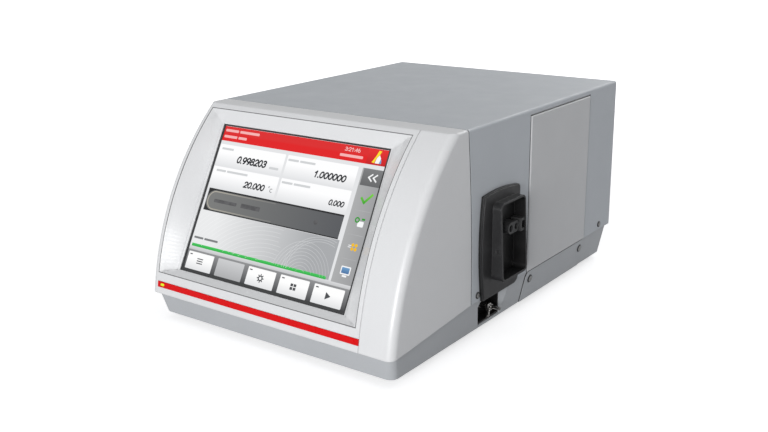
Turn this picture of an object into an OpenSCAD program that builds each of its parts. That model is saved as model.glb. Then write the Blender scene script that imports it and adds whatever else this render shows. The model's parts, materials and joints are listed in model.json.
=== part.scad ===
// Benchtop density meter. An arched moulded front with a sunk touch screen closes a sheet-metal
// cover on a tapered base tray. A hood on the right side guards two filling ports, behind which a
// glass U-tube lies in a thermostat block. Mains inlet, switch, fan and data ports are at the rear.
// Millimetres. X runs to the right, Y to the rear, Z up, and the bench is Z = 0.

/* [Housing] */
// Width of the housing across its side walls
body_w = 330; // [318:1:380]
// Length from the foot of the front to the rear edge of the cover
body_l = 484; // [460:1:560]
// Height of the top above the bench
body_h = 230; // [226:1:250]
// Height of the feet under the base tray
foot_h = 8; // [6:0.5:12]
// Play between housing pieces that meet edge to edge
seat_gap = 0.2; // [0.1:0.05:0.3]

/* [Front] */
// Height of the front's lower edge above the bench
front_z = 33; // [30:1:36]
// How far the front leans back at the top
front_lean = 107; // [100:1:112]
// Height of the arch of the front above its chord
front_bow = 20.2; // [17:0.1:24]
// Rounding between the front and the sides
side_edge_r = 8; // [5:0.5:10]
// Rounding between the front and the top
top_edge_r = 4; // [2:0.5:6]
// Wall of the moulded front
bezel_t = 3.5; // [2.5:0.1:4.5]
// Distance of the seam behind the front's foot, near the base
seam_y = 140; // [136:1:150]
// How much further forward the seam is at the top
seam_lean = 9; // [4:0.5:12]
// Height at which the seam is furthest back
seam_z = 60; // [50:1:80]
// Open gap of the seam
seam_gap = 1.5; // [0.5:0.1:2]

/* [Screen] */
// Width of the screen window
screen_w = 231; // [200:1:234]
// Distance of the window from the front's lower edge, along the slope
screen_up = 31.2; // [29:0.1:34]
// Distance of the window from the front's top edge, along the slope
screen_down = 23; // [21:0.1:30]
// Distance of the window from the left side of the housing
screen_left = 31.6; // [31:0.1:36]
// Spread of the recess beyond the window at its sides
recess_side = 22; // [14:0.5:22]
// Spread of the recess beyond the window at its foot
recess_foot = 8.6; // [5:0.1:10]
// Spread of the recess beyond the window at its top
recess_top = 16; // [8:0.5:16]
// Thickness of the bezel round the window
window_t = 1.2; // [0.8:0.1:2]
// Dark border of the screen inside the window
border = 2.5; // [1.5:0.1:5]
// Thickness of the touch glass
glass_t = 2; // [1:0.1:3]
// Thickness of the display module
module_t = 9; // [6:0.5:12]
// Distance of the upright groove from the right edge of the recess
groove_out = 5.2; // [4:0.1:10]
// Width and depth of the upright groove
groove_w = 0.8; // [0.5:0.1:1.2]

/* [Trim strip] */
// Height of the strip's lower edge above the bench
strip_z = 40.2; // [39:0.1:42]
// Height of the strip
strip_h = 6.4; // [5:0.1:8]
// Thickness of the strip
strip_t = 1.4; // [1:0.1:2]
// Length of the status lens
lens_l = 5.5; // [4:0.1:7]
// Height of the status lens
lens_h = 2.6; // [2:0.1:3.5]

/* [Cover and chassis] */
// Sheet thickness of the cover, chassis and rear panel
sheet_t = 1.5; // [1:0.1:2]
// Outer bend radius of the cover's top edges
bend_r = 3; // [2.2:0.1:6]
// Height of the cover's lower edge
cover_z = 44; // [42:0.5:48]
// Height of the chassis flange behind the cover's lower edge
flange_h = 15; // [12:0.5:16]
// How far the rear panel lies inside the cover's rear edge
rear_inset = 2; // [1:0.5:5]
// Radius of the cover screws' cup washers
washer_r = 3.8; // [3.4:0.1:4.2]
// Height of the cup washers
washer_h = 1.2; // [0.8:0.1:1.5]
// Radius of the screws' threads
screw_r = 2; // [1.5:0.1:2]
// Distance of the front cover screws before the adapter's rim
cover_screw_front = 0.6; // [0.4:0.1:3]
// Distance of the rear cover screws from the rear edge
cover_screw_rear = 32; // [20:1:45]

/* [Base tray] */
// Wall of the base tray
base_t = 3; // [2.4:0.1:4]
// Setback of the tray's top edge under the cover
base_step = 1.5; // [0.8:0.1:2.5]
// Inward taper of the tray's sides
taper_side = 5.5; // [3:0.5:8]
// Inward taper of the tray's front
taper_front = 9.5; // [5:0.5:12]
// Inward taper of the tray's rear
taper_rear = 7; // [4:0.5:10]
// Corner radius of the tray seen from above
base_r = 9; // [6:0.5:12]
// Radius of the rubber feet
foot_r = 11; // [8:0.5:14]
// Distance of the feet from the sides
foot_side = 40; // [35:1:60]
// Distance of the feet from the front and the rear
foot_end = 52; // [45:1:80]

/* [Bay door and flap] */
// Distance of the door behind the ports' centre
door_back = 55; // [45:0.5:62]
// Distance of the door from the rear edge
door_rear = 76; // [60:0.5:90]
// Height of the door's top edge below the housing's top
door_drop = 7.5; // [6:0.5:15]
// Thickness of the door
door_t = 2.8; // [2:0.1:4]
// Chamfer round the door's face
door_edge = 1.2; // [0.6:0.1:1.6]
// Open gap round the door
door_gap = 1.5; // [0.8:0.1:2]
// How far the flap below the door stands proud of the tray
flap_proud = 0.8; // [0.4:0.1:1.2]
// Thickness of the flap
flap_t = 1.9; // [1.5:0.1:2.2]
// Open gap round the flap
flap_gap = 1.3; // [0.6:0.1:1.6]
// Radius of the cup washers on the flap
flap_washer_r = 4.8; // [4.2:0.1:5]

/* [Filling ports] */
// Distance of the ports' centre behind the seam
port_back = 65.5; // [60:0.5:70]
// Height of the ports above the bench
port_z = 113.7; // [108:0.1:118]
// Spacing of the two ports
port_gap = 11.3; // [10:0.1:13]
// Bore radius of a port
port_r = 3.7; // [3:0.1:4]
// Depth of a port's bore
port_l = 10; // [8:0.5:11]
// Wall round a port
port_t = 2.4; // [2:0.1:3]
// Thickness of the adapter's rim
rim_t = 4.5; // [3.5:0.1:6]
// Rim beyond the ports' centre towards the front
rim_front = 52; // [50:0.5:56]
// Rim beyond the ports' centre towards the rear
rim_rear = 26.5; // [25:0.5:32]
// Rim above the ports' centre
rim_up = 44.8; // [42:0.5:50]
// Bow of the rim's front edge
rim_bow = 5; // [2:0.5:6]
// Bow of the rim's top edge
rim_arch = 3.5; // [1:0.5:4]
// Hood's outer wall beyond the ports' centre towards the front
hood_front = 32; // [30:0.5:36]
// Hood's outer wall beyond the ports' centre towards the rear
hood_rear = 21.5; // [20.5:0.5:24]
// Hood's outer wall above the ports' centre
hood_up = 32.5; // [28:0.5:36]
// Hood's outer wall below the ports' centre
hood_down = 52.5; // [48:0.5:53]
// Wall of the hood
hood_t = 2.2; // [1.8:0.1:3]
// Reach of the hood's lower lip beyond the housing's side
hood_reach = 18; // [16:0.5:24]
// How much less the hood's upper lip reaches
hood_lean = 4; // [0:0.5:5]
// How far the ports' tips stay behind the hood's upper lip
tip_back = 2; // [1:0.5:5]

/* [Outlet pocket] */
// Distance of the pocket's rear wall behind the ports' centre
pocket_back = 3.5; // [0:0.5:8]
// Length of the pocket at its widest
pocket_l = 48.5; // [44:0.5:52]
// Depth of the pocket behind the cover's side
pocket_d = 22; // [18:0.5:24]
// Slant of the pocket's front edge
pocket_slant = 6.5; // [3:0.5:8]
// Wall of the pocket's liner
liner_t = 1.5; // [1:0.1:2]
// Length of the ramp behind the pocket
ramp_l = 13; // [8:0.5:15]
// Depth of the ramp at the pocket
ramp_d = 6.2; // [3:0.1:7]
// Outer radius of the hose nozzle
nozzle_r = 2.1; // [1.8:0.1:2.4]
// Bore radius of the hose nozzle
nozzle_bore = 1.2; // [0.8:0.1:1.4]
// Length of the hose nozzle
nozzle_l = 14; // [12:0.5:15]

/* [Measuring cell] */
// Outer radius of the glass U-tube
tube_r = 2.1; // [1.8:0.1:2.5]
// Wall of the glass U-tube
tube_t = 0.5; // [0.4:0.1:0.8]
// Length of the U-tube's straight legs
tube_l = 76; // [66:1:77]
// Bore radius of the thermostat block
block_bore = 16.1; // [15:0.1:17]
// Width and height of the thermostat block
block_s = 50; // [44:1:52]
// Length of the thermostat block
block_l = 96; // [90:1:100]
// Wall of the glass jacket round the U-tube
jacket_t = 1.4; // [1:0.1:2]
// Number of the heat sink's fins
fin_n = 11; // [7:1:13]
// Length of the heat sink's fins
fin_l = 28; // [20:1:32]

/* [Rear] */
// Side of the square fan
fan_s = 80; // [70:1:90]
// Depth of the fan
fan_d = 25; // [20:1:30]
// Number of fan blades
blade_n = 7; // [5:1:9]
// Distance of the fan's centre from the housing's right side
fan_side = 77; // [70:1:85]
// Height of the fan's centre
fan_z = 158; // [155:1:165]
// Rim of the power inlet's flange beside its socket
inlet_rim = 3.7; // [3.2:0.1:5]
// Distance of the power inlet's middle from the housing's left side
inlet_side = 47; // [40:1:55]
// Depth of the power inlet's body inside the rear panel
inlet_d = 32; // [30:1:36]
// Travel of the fuse drawer
drawer_out = 16; // [14:1:17]
// Tilt of the rocker either way
rocker_tilt = 7; // [5:1:9]
// Height of the row of data ports
data_z = 96; // [90:1:110]

/* [Hidden] */
$fn = 48;
eps = 0.01;
big = 600;

// Reach of the serial ports' shells, the rearmost pieces
rear_reach = 6;
panel_y = body_l - rear_inset;
mid_x = (hood_reach - washer_h) / 2;
mid_y = (panel_y + rear_reach) / 2;

// Arched front: chord, centre and radius of the arc through its foot and its top edge
chord = sqrt(front_lean ^ 2 + (body_h - front_z) ^ 2);
chord_a = atan2(body_h - front_z, front_lean);
front_r = (chord ^ 2 / 4 + front_bow ^ 2) / (2 * front_bow);
front_cy = front_lean / 2 + (front_r - front_bow) * sin(chord_a);
front_cz = (body_h + front_z) / 2 - (front_r - front_bow) * cos(chord_a);
arc_fn = 240;

// Seam between front and cover: a very flat arc
seam_r = ((body_h - seam_z) ^ 2 + seam_lean ^ 2) / (2 * seam_lean);
seam_top_y = seam_y - seam_lean;
function front_edge_z(y) = front_z + (cover_z - front_z) * y / seam_y;

// Screen and recess
screen_h = chord - screen_up - screen_down;
screen_mid = -body_w / 2 + screen_left + screen_w / 2;
recess_x0 = screen_mid - screen_w / 2 - recess_side;
recess_x1 = screen_mid + screen_w / 2 + recess_side;
groove_x = recess_x1 + groove_out;
flange_w = 14;
tub_foot = 4;
gasket_t = 0.6;
bracket_t = 1.2;
stack_t = window_t + gasket_t + glass_t + module_t;

// Stations along the right side
port_y = seam_y + port_back;
door_y = port_y + door_back;
door_l = body_l - door_rear - door_y;
pocket_y = port_y + pocket_back;

// Housing levels
floor_z = foot_h + base_t;
chassis_x = body_w / 2 - pocket_d - 7;
side_in = body_w / 2 - sheet_t;
chassis_y = seam_y + 7.5;
chassis_end = body_l - base_step - taper_rear - base_t - 2;

// Adapter
rim_foot_z = cover_z - 1;
hood_mid = [port_y + (hood_rear - hood_front) / 2, port_z + (hood_up - hood_down) / 2];
tip_x = body_w / 2 + hood_reach - hood_lean - tip_back;
adapter_back = 15;
port_x = tip_x - port_l;
cell_x1 = body_w / 2 - 27;
sleeve_l = body_w / 2 - adapter_back - cell_x1 + 2;

// Block
cap_t = 6;
block_x0 = cell_x1 - block_l;
block_y1 = port_y + block_s / 2;
block_z0 = port_z - block_s / 2;
plate_t = 3.6;

// Rear
inlet_h = 66;
inlet_z = 84;
inlet_flange = 3;
rocker_w = 20.6;
rocker_h = 14;
rocker_z = inlet_z + 20;
drawer_w = 22;
drawer_h = 9;
drawer_z = inlet_z + 5.5;
socket_w = 24.6;
socket_h = 16.6;
socket_d = 17;
socket_z = inlet_z - 16;
pivot_r = 1.5;
inlet_w = socket_w + 2 * inlet_rim;
inlet_x = body_w / 2 - inlet_side;
fan_x = body_w / 2 - fan_side;
fan_r = fan_s / 2 - 3;
hub_r = 17;
hub_l = fan_d - 8;
wire_r = 1;

module in_frame() translate([-mid_x, -mid_y, 0]) children();

// A flat shape drawn in (Y, Z) and pulled along X
module along_x(x0, x1) translate([x0, 0, 0]) rotate([90, 0, 90]) linear_extrude(x1 - x0) children();

// A flat shape drawn in (X, Z) and pulled along Y
module along_y(y0, y1) translate([0, y1, 0]) rotate([90, 0, 0]) linear_extrude(y1 - y0) children();

// A straight bar between two corners
module bar(a, b) translate(a) cube(b - a);

// A rod along X from x0 to x1
module rod_x(r, x0, x1, y, z) translate([x0, y, z]) rotate([0, 90, 0]) cylinder(r = r, h = x1 - x0);

// A rod along Y from y0 to y1
module rod_y(r, x, y0, y1, z) translate([x, y0, z]) rotate([-90, 0, 0]) cylinder(r = r, h = y1 - y0);

module rounded(w, h, r) {
    square([w - 2 * r, h], center = true);
    square([w, h - 2 * r], center = true);
    for (sx = [-1, 1], sy = [-1, 1]) translate([sx * (w / 2 - r), sy * (h / 2 - r)]) circle(r);
}

module stadium(l, r) {
    square([l, 2 * r], center = true);
    for (s = [-1, 1]) translate([s * l / 2, 0]) circle(r);
}

// Frame on the slope of the front: x across, y up the chord, z out of the front
module on_slope() translate([screen_mid, 0, front_z]) rotate([chord_a, 0, 0]) children();

module slope_plate(grow, z0, z1)
    translate([-screen_w / 2 - grow, screen_up - grow, z0]) cube([screen_w + 2 * grow, screen_h + 2 * grow, z1 - z0]);

// ---- Front ----

// Disc whose rim is the arched front, with rounded edges to the sides
module front_disc(inset) {
    r = max(side_edge_r - inset, 0.5);
    w = body_w / 2 - inset;
    translate([0, front_cy, front_cz]) rotate([0, 90, 0]) rotate_extrude($fn = arc_fn) {
        translate([0, -w]) square([front_r - inset - r, 2 * w]);
        translate([0, -w + r]) square([front_r - inset, 2 * (w - r)]);
        for (s = [-1, 1]) translate([front_r - inset - r, s * (w - r)]) circle(r);
    }
}

// Outline of the front seen from the side, down to its sloping lower edge
module front_side(inset, drop) {
    top = body_h - inset;
    difference() {
        intersection() {
            polygon([[-20, front_edge_z(-20) - drop], [seam_y + 20, front_edge_z(seam_y + 20) - drop],
                [seam_y + 20, top], [-20, top]]);
            translate([seam_y - seam_r, seam_z]) circle(r = seam_r, $fn = 720);
        }
        front_corner(inset, top);
    }
}

// What the rounding between front and top takes off
module front_corner(inset, top) {
    r = max(top_edge_r - inset, 0.5);
    reach = front_r - inset - r;
    cz = top - r;
    cy = front_cy - sqrt(reach ^ 2 - (cz - front_cz) ^ 2);
    out = [cy - front_cy, cz - front_cz] / reach;
    difference() {
        polygon([[cy, cz], [cy, cz] + out * 3 * r, [cy, top + 2 * r], [cy, cz + 3 * r]]);
        translate([cy, cz]) circle(r);
    }
}

module housing_outline(inset, z0) {
    r = max(bend_r - inset, 0.5);
    w = body_w / 2 - inset;
    h = body_h - inset;
    translate([-w, z0]) square([2 * w, h - r - z0]);
    translate([-w + r, z0]) square([2 * (w - r), h - z0]);
    for (s = [-1, 1]) translate([s * (w - r), h - r]) circle(r);
}

module front_solid(inset, drop) intersection() {
    front_disc(inset);
    along_x(-body_w / 2, body_w / 2) front_side(inset, drop);
    along_y(-20, seam_y + 20) housing_outline(inset, 0);
}

// Height of the arch above its chord, at a distance up the chord
function arch_rise(up) = sqrt(front_r ^ 2 - (chord / 2 - up) ^ 2) - (front_r - front_bow);

// A wall on four sides that runs from a flat window out to an outline on the arch. The window's
// edges grow by "foot" and the outline by "out". The walls go on past the arch by "past".
recess_steps = 44;

module recess_loft(foot, z0, out, past) {
    n = recess_steps;
    up0 = screen_up - recess_foot - out;
    up1 = screen_up + screen_h + recess_top + out;
    w0 = screen_w / 2 + foot;
    w1 = screen_w / 2 + recess_side + out;
    low = [for (i = [0:n]) screen_up - foot + (screen_h + 2 * foot) * i / n];
    high = [for (i = [0:n]) up0 + (up1 - up0) * i / n];
    points = [for (s = [-1, 1], i = [0:n])
        each let (a = [s * w0, low[i], z0], b = [s * w1, high[i], arch_rise(high[i])]) [a, a + (b - a) * past]];
    // four points a step: left low, left high, right low, right high
    m = 2 * (n + 1);
    faces = concat(
        [for (i = [0:n - 1]) each let (a = 2 * i, b = a + m) [
            [a, a + 2, a + 3, a + 1],
            [b, b + 1, b + 3, b + 2],
            [a + 1, a + 3, b + 3, b + 1],
            [a, b, b + 2, a + 2]]],
        [[0, 1, m + 1, m], [m - 2, 2 * m - 2, 2 * m - 1, m - 1]]);
    polyhedron(points, faces);
}

// The recess runs from its outline on the arch down to the flat window
module recess_space() on_slope() recess_loft(0, -eps, 0, 1.06);

module recess_tub() on_slope() {
    recess_loft(tub_foot, -window_t, bezel_t, 0.98);
    slope_plate(flange_w, -window_t, 0);
}

module front_groove() {
    translate([groove_x, front_cy, front_cz]) rotate([0, 90, 0]) rotate_extrude($fn = arc_fn)
        translate([front_r - groove_w, 0]) square([groove_w + 5, groove_w]);
}

// Ring section that follows the arch, from radius r0 to r1
module arch_band(r0, r1, x0, x1, z0, z1) intersection() {
    translate([x0, front_cy, front_cz]) rotate([0, 90, 0]) difference() {
        cylinder(r = r1, h = x1 - x0, $fn = arc_fn);
        translate([0, 0, -1]) cylinder(r = r0, h = x1 - x0 + 2, $fn = arc_fn);
    }
    bar([x0 - 1, -30, z0], [x1 + 1, 60, z1]);
}

lens_x = recess_x0 + 7.5;
lens_z = strip_z + strip_h / 2;

module lens_shape(grow) along_y(-2, 12) translate([lens_x, lens_z]) stadium(lens_l - lens_h, lens_h / 2 + grow);

// Rim behind the seam that carries the cover's front edge
module cover_lip() intersection() {
    along_y(seam_top_y - 12, seam_y + 8) difference() {
        housing_outline(sheet_t + seat_gap, cover_z);
        housing_outline(sheet_t + seat_gap + 2, cover_z - 1);
    }
    along_x(-body_w, body_w) difference() {
        translate([seam_y - seam_r, seam_z]) circle(r = seam_r + 7, $fn = 720);
        translate([seam_y - seam_r, seam_z]) circle(r = seam_r - 5, $fn = 720);
    }
}

module front_bezel() in_frame() color("gainsboro") difference() {
    union() {
        difference() {
            front_solid(0, 0);
            front_solid(bezel_t, 10);
            // open to the rear, where the inner skin's seam arc would close it
            along_y(seam_top_y - 14, seam_y + 30) housing_outline(bezel_t, 0);
        }
        recess_tub();
        cover_lip();
    }
    recess_space();
    on_slope() slope_plate(0, -window_t - 1, 1);
    front_groove();
    arch_band(front_r - strip_t, front_r + 4, recess_x0 - seat_gap, groove_x, strip_z - seat_gap,
        strip_z + strip_h + seat_gap);
    lens_shape(seat_gap);
}

module screen_gasket() in_frame() color("#1c1d1f") on_slope() difference() {
    slope_plate(5, -window_t - gasket_t, -window_t);
    translate([0, border / 2, 0]) slope_plate(-border, -window_t - gasket_t - 1, 0);
}

module touch_glass() in_frame() color("#20262c") on_slope()
    slope_plate(7, -window_t - gasket_t - glass_t, -window_t - gasket_t);

module display_module() in_frame() color("#3a3d42") on_slope()
    slope_plate(6, -stack_t, -stack_t + module_t);

module display_bracket() in_frame() color("silver") on_slope() {
    difference() {
        slope_plate(10 + bracket_t, -stack_t - bracket_t, -window_t);
        slope_plate(10, -stack_t, 0);
        slope_plate(-25, -stack_t - 2 * bracket_t, 0);
    }
    // struts across the open middle
    for (s = [-1, 1]) translate([s * screen_w / 5 - 8, screen_up, -stack_t - bracket_t])
        cube([16, screen_h, bracket_t]);
}

display_board_size = [150, 95, 1.6];
spacer_l = 8;
display_board_y = screen_up + (screen_h - display_board_size[1]) / 2;

module display_board() in_frame() color("darkgreen") on_slope()
    translate([-display_board_size[0] / 2, display_board_y, -stack_t - bracket_t - spacer_l - 1.6]) {
        cube(display_board_size);
        translate([20, 20, -5]) cube([38, 38, 5]);
        translate([90, 15, -8]) cube([40, 12, 8]);
        translate([80, 55, -3]) cube([26, 22, 3]);
    }

module trim_strip() in_frame() color("crimson") difference() {
    arch_band(front_r - strip_t, front_r + 0.3, recess_x0, groove_x, strip_z, strip_z + strip_h);
    lens_shape(seat_gap / 2);
}

module status_lens() in_frame() color("greenyellow") intersection() {
    lens_shape(0);
    arch_band(front_r - bezel_t, front_r + 0.6, -body_w, body_w, 0, body_h);
}

// ---- Cover, chassis and rear panel ----

// Side screws of the cover: places (Y, Z) on both sides
cover_screw_z = cover_z + 7;
cover_screws_at = [[port_y - rim_front - cover_screw_front, cover_screw_z], [body_l - cover_screw_rear, cover_screw_z]];

module top_cover() in_frame() color("lightslategray") difference() {
    along_y(seam_top_y - 2, body_l) difference() {
        housing_outline(0, cover_z);
        housing_outline(sheet_t, cover_z - 1);
    }
    // curved front edge along the seam
    translate([-body_w, seam_y - seam_r, seam_z]) rotate([0, 90, 0])
        cylinder(r = seam_r + seam_gap, h = 2 * body_w, $fn = 720);
    // bay on the right side
    bar([side_in - 1, door_y - door_gap, 0], [body_w, door_y + door_l + door_gap, door_top + door_gap]);
    // opening for the filling adapter
    along_x(side_in - 1, body_w) translate([port_y, port_z]) stadium(port_gap, port_r + port_t + 1);
    for (p = cover_screws_at) rod_x(screw_r + 0.3, -body_w, body_w, p[0], p[1]);
}

door_top = body_h - door_drop;

module chassis() in_frame() color("silver") difference() {
    along_y(chassis_y, panel_y - sheet_t - seat_gap) chassis_profile();
    bar([-body_w, chassis_end, floor_z - 1], [body_w, body_l, cover_z - eps]);
    // room for the outlet pocket and the rear cut of the tray
    bar([chassis_x - sheet_t - 1, pocket_y - pocket_l - 8, floor_z - 1],
        [body_w, pocket_y + ramp_l + 6, cover_z - eps]);
    for (p = cover_screws_at) rod_x(screw_r + 0.1, -body_w, body_w, p[0], p[1]);
    for (x = [-1, 1], y = feet_y) translate([x * feet_x, y, floor_z - 1]) cylinder(r = 6, h = 10);
}

// Sheet bent up from the tray's floor, out over its rim and up behind the cover
module chassis_profile() {
    w = side_in - seat_gap;
    translate([-chassis_x, floor_z]) square([2 * chassis_x, sheet_t]);
    for (m = [0, 1]) mirror([m, 0]) {
        translate([chassis_x - sheet_t, floor_z]) square([sheet_t, cover_z - floor_z]);
        translate([chassis_x - sheet_t, cover_z]) square([w - chassis_x + sheet_t, sheet_t]);
        translate([w - sheet_t, cover_z]) square([sheet_t, flange_h]);
    }
}

module rear_panel() in_frame() color("lightslategray") difference() {
    union() {
        along_y(panel_y - sheet_t, panel_y) difference() {
            housing_outline(sheet_t + seat_gap, cover_z);
            for (s = [0, 1]) mirror([s, 0]) translate([side_in - sheet_t - 2 * seat_gap, cover_z - 1])
                square([10, flange_h + 2]);
        }
        // bent rim along the top, under the cover
        along_y(panel_y - 12, panel_y) difference() {
            housing_outline(sheet_t + seat_gap, body_h - 12);
            housing_outline(2 * sheet_t + seat_gap, body_h - 20);
        }
    }
    rod_y(fan_r, fan_x, panel_y - 20, panel_y + 5, fan_z);
    for (s = fan_holes) rod_y(2.2, s[0], panel_y - 20, panel_y + 5, s[1]);
    bar([-inlet_x - inlet_w / 2 + 2, panel_y - 20, inlet_z - inlet_h / 2 + 3],
        [-inlet_x + inlet_w / 2 - 2, panel_y + 5, inlet_z + inlet_h / 2 - 3]);
    for (x = usb_x) bar([x - 7.2, panel_y - 20, data_z - 3.7], [x + 7.2, panel_y + 5, data_z + 3.7]);
    bar([lan_x - 8.2, panel_y - 20, data_z - 7], [lan_x + 8.2, panel_y + 5, data_z + 7]);
    for (z = serial_z) along_y(panel_y - 20, panel_y + 5) translate([serial_x, z]) dsub_shape(9.2, 6);
    for (p = vent_rows, i = [0:vent_n - 1]) along_y(panel_y - 20, panel_y + 5)
        translate([vent_x + (i - (vent_n - 1) / 2) * vent_pitch, p]) rotate(90) stadium(14, 1.5);
    for (p = rear_screws_at) rod_y(1.6, p[0], panel_y - 20, panel_y + 5, p[1]);
}

vent_n = 9;
vent_pitch = 8;
vent_x = -30;
vent_rows = [body_h - 40, body_h - 62];
usb_x = [-66, -46, -26];
lan_x = -2;
serial_x = 28;
serial_z = [data_z - 10, data_z + 10];
fan_hole = fan_s * 0.447;
fan_holes = [for (sx = [-1, 1], sz = [-1, 1]) [fan_x + sx * fan_hole, fan_z + sz * fan_hole]];
rear_screws_at = [for (sx = [-1, 1], z = [cover_z + 28, body_h - 6]) [sx * (body_w / 2 - 12), z]];

// ---- Base tray ----

function tray_half(z) = [body_w / 2 - base_step - taper_side * (1 - (z - foot_h) / (cover_z - foot_h)),
    base_step + taper_front * (1 - (z - foot_h) / (cover_z - foot_h)),
    body_l - base_step - taper_rear * (1 - (z - foot_h) / (cover_z - foot_h))];

// Thin slice of the tray's outline at height z, drawn in by inset
module tray_slice(z, inset) {
    h = tray_half(z);
    r = max(base_r - inset, 1);
    x = h[0] - inset - r;
    translate([0, 0, z]) for (sx = [-1, 1], y = [h[1] + inset + r, h[2] - inset - r])
        translate([sx * x, y, 0]) cylinder(r = r, h = eps, $fn = 32);
}

module tray_solid(inset, z0) hull() {
    tray_slice(z0, inset);
    tray_slice(cover_z, inset);
}

// Everything above the tray's rim, which climbs under the front
module above_tray() along_x(-body_w, body_w)
    polygon([[-50, front_edge_z(-50) - seat_gap], [seam_y, cover_z - seat_gap],
        [body_l + 50, cover_z - seat_gap], [body_l + 50, cover_z + 50], [-50, cover_z + 50]]);

// Outline of the flap below the door, in (Y, Z)
module flap_shape(grow) {
    y0 = door_y + 1;
    y1 = door_y + door_l - 1;
    top = cover_z - flap_gap + grow;
    polygon([[y0 - 6 - grow, foot_h - 5], [y0 - grow, top - 6], [y0 + 4 - grow, top],
        [y1 + grow, top], [y1 + grow, foot_h - 5]]);
}

// Outline of the outlet pocket, in (Y, Z)
module pocket_shape(grow) {
    y1 = pocket_y;
    y0 = pocket_y - pocket_l;
    z0 = floor_z + liner_t + seat_gap;
    z1 = cover_z - 2.6;
    polygon([[y0 + pocket_slant - grow, z0 - grow], [y0 - grow, z1 - 7], [y0 + 5 - grow / 2, z1 + grow],
        [y1 + grow, z1 + grow], [y1 + grow, z0 - grow]]);
}

module base_tray() in_frame() color("slategray") difference() {
    tray_solid(0, foot_h);
    difference() {
        tray_solid(base_t, floor_z);
        bar([chassis_x + seat_gap, pocket_y - pocket_l - 6, 0],
            [body_w, pocket_y + ramp_l + 4, cover_z + 10]);
    }
    above_tray();
    // pocket and the ramp behind it
    along_x(pocket_x, body_w) pocket_shape(liner_t + seat_gap);
    ramp();
    rod_x(nozzle_root, chassis_x, body_w, nozzle_y, nozzle_z);
    // shallow seat of the flap
    intersection() {
        along_x(0, body_w) flap_shape(flap_gap);
        difference() {
            tray_solid(-10, foot_h);
            tray_solid(flap_t - flap_proud + seat_gap, foot_h - eps);
        }
    }
    for (x = [-1, 1], y = feet_y) translate([x * feet_x, y, foot_h - 5]) cylinder(r = screw_r + 0.2, h = 20);
    for (y = flap_screw_y) flap_axis(y) cylinder(r = screw_r + 0.1, h = 20, center = true);
}

pocket_x = body_w / 2 - pocket_d - 2;

module ramp() translate([0, 0, floor_z + seat_gap]) linear_extrude(cover_z) {
    x1 = tray_half(cover_z)[0];
    polygon([[x1 - ramp_d, pocket_y], [x1 - 0.6, pocket_y + ramp_l], [x1 + 5, pocket_y + ramp_l],
        [x1 + 5, pocket_y - 1], [x1 - ramp_d, pocket_y - 1]]);
}

feet_x = body_w / 2 - foot_side;
feet_y = [foot_end, body_l - foot_end];

module base_feet() in_frame() color("#26272a") for (x = [-1, 1], y = feet_y) translate([x * feet_x, y, 0])
    rotate_extrude() difference() {
        polygon([[0, 0], [foot_r - 1.5, 0], [foot_r - 0.5, 1], [foot_r, foot_h], [0, foot_h]]);
        translate([-1, -1]) square([1 + foot_r * 0.45, foot_h / 2 + 1]);
        translate([-1, 0]) square([1 + screw_r + 0.2, foot_h + 1]);
    }

module foot_screws() in_frame() color("silver") for (x = [-1, 1], y = feet_y)
    translate([x * feet_x, y, foot_h / 2 - 2]) {
        cylinder(r = foot_r * 0.4, h = 2);
        cylinder(r = screw_r, h = floor_z - foot_h / 2 + 2);
    }

// ---- Door, flap and housing screws ----

bay_plate_x = side_in - sheet_t - seat_gap;

module bay_door() in_frame() color("darkgray") {
    x0 = body_w / 2 + 1.1 - door_t;
    difference() {
        along_x(x0, x0 + door_t) translate([door_y + door_l / 2, (cover_z + door_top) / 2])
            rounded(door_l, door_top - cover_z, 1.2);
        bar([x0 - 1, door_y + 12, cover_z + flange_h + 6], [x0 + door_t - 1.6, door_y + door_l - 12, door_top - 12]);
        for (y = [door_y, door_y + door_l]) translate([x0 + door_t, y, 0]) rotate([0, 0, 45]) edge_cut();
        for (z = [cover_z, door_top]) translate([x0 + door_t, 0, z]) rotate([90, 0, 0]) rotate([0, 0, 45]) edge_cut();
    }
}

// A square bar along Z that takes a chamfer off an edge
module edge_cut() cube([door_edge * sqrt(2), door_edge * sqrt(2), 4 * big], center = true);

module bay_plate() in_frame() color("silver") {
    x1 = body_w / 2 + 1.1 - door_t - seat_gap / 2;
    z0 = cover_z + flange_h + 0.4;
    difference() {
        bar([bay_plate_x - 8, door_y + 2, z0], [x1, door_y + door_l - 2, door_top - 2]);
        bar([bay_plate_x - 9, door_y + 2 + sheet_t, z0 + sheet_t],
            [x1 - sheet_t, door_y + door_l - 2 - sheet_t, door_top - 2 - sheet_t]);
    }
    // turned rim behind the cover
    difference() {
        bar([bay_plate_x, door_y - 8, z0], [side_in - seat_gap, door_y + door_l + 8, door_top + 2]);
        bar([bay_plate_x - 1, door_y + 2, z0 - 1], [side_in, door_y + door_l - 2, door_top - 2]);
    }
}

// Axis of a flap screw, square to the tray's sloping side
flap_screw_y = [door_y + 12, door_y + door_l - 6.5];
flap_screw_z = cover_z - 11.5;
side_a = atan(taper_side / (cover_z - foot_h));

module flap_axis(y) translate([tray_half(flap_screw_z)[0], y, flap_screw_z]) rotate([0, 90 + side_a, 0]) children();

module base_flap() in_frame() color("slategray") difference() {
    intersection() {
        along_x(0, body_w) flap_shape(0);
        difference() {
            tray_solid(-flap_proud, foot_h);
            tray_solid(flap_t - flap_proud, foot_h - eps);
        }
    }
    above_tray();
    for (y = flap_screw_y) flap_axis(y) cylinder(r = screw_r + 0.2, h = 20, center = true);
}

module at_cover_screws() {
    for (p = cover_screws_at) {
        translate([body_w / 2, p[0], p[1]]) rotate([0, 90, 0]) children();
        translate([-body_w / 2, p[0], p[1]]) rotate([0, -90, 0]) children();
    }
}

module at_flap_screws() for (y = flap_screw_y) flap_axis(y) translate([0, 0, flap_proud]) children();

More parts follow.
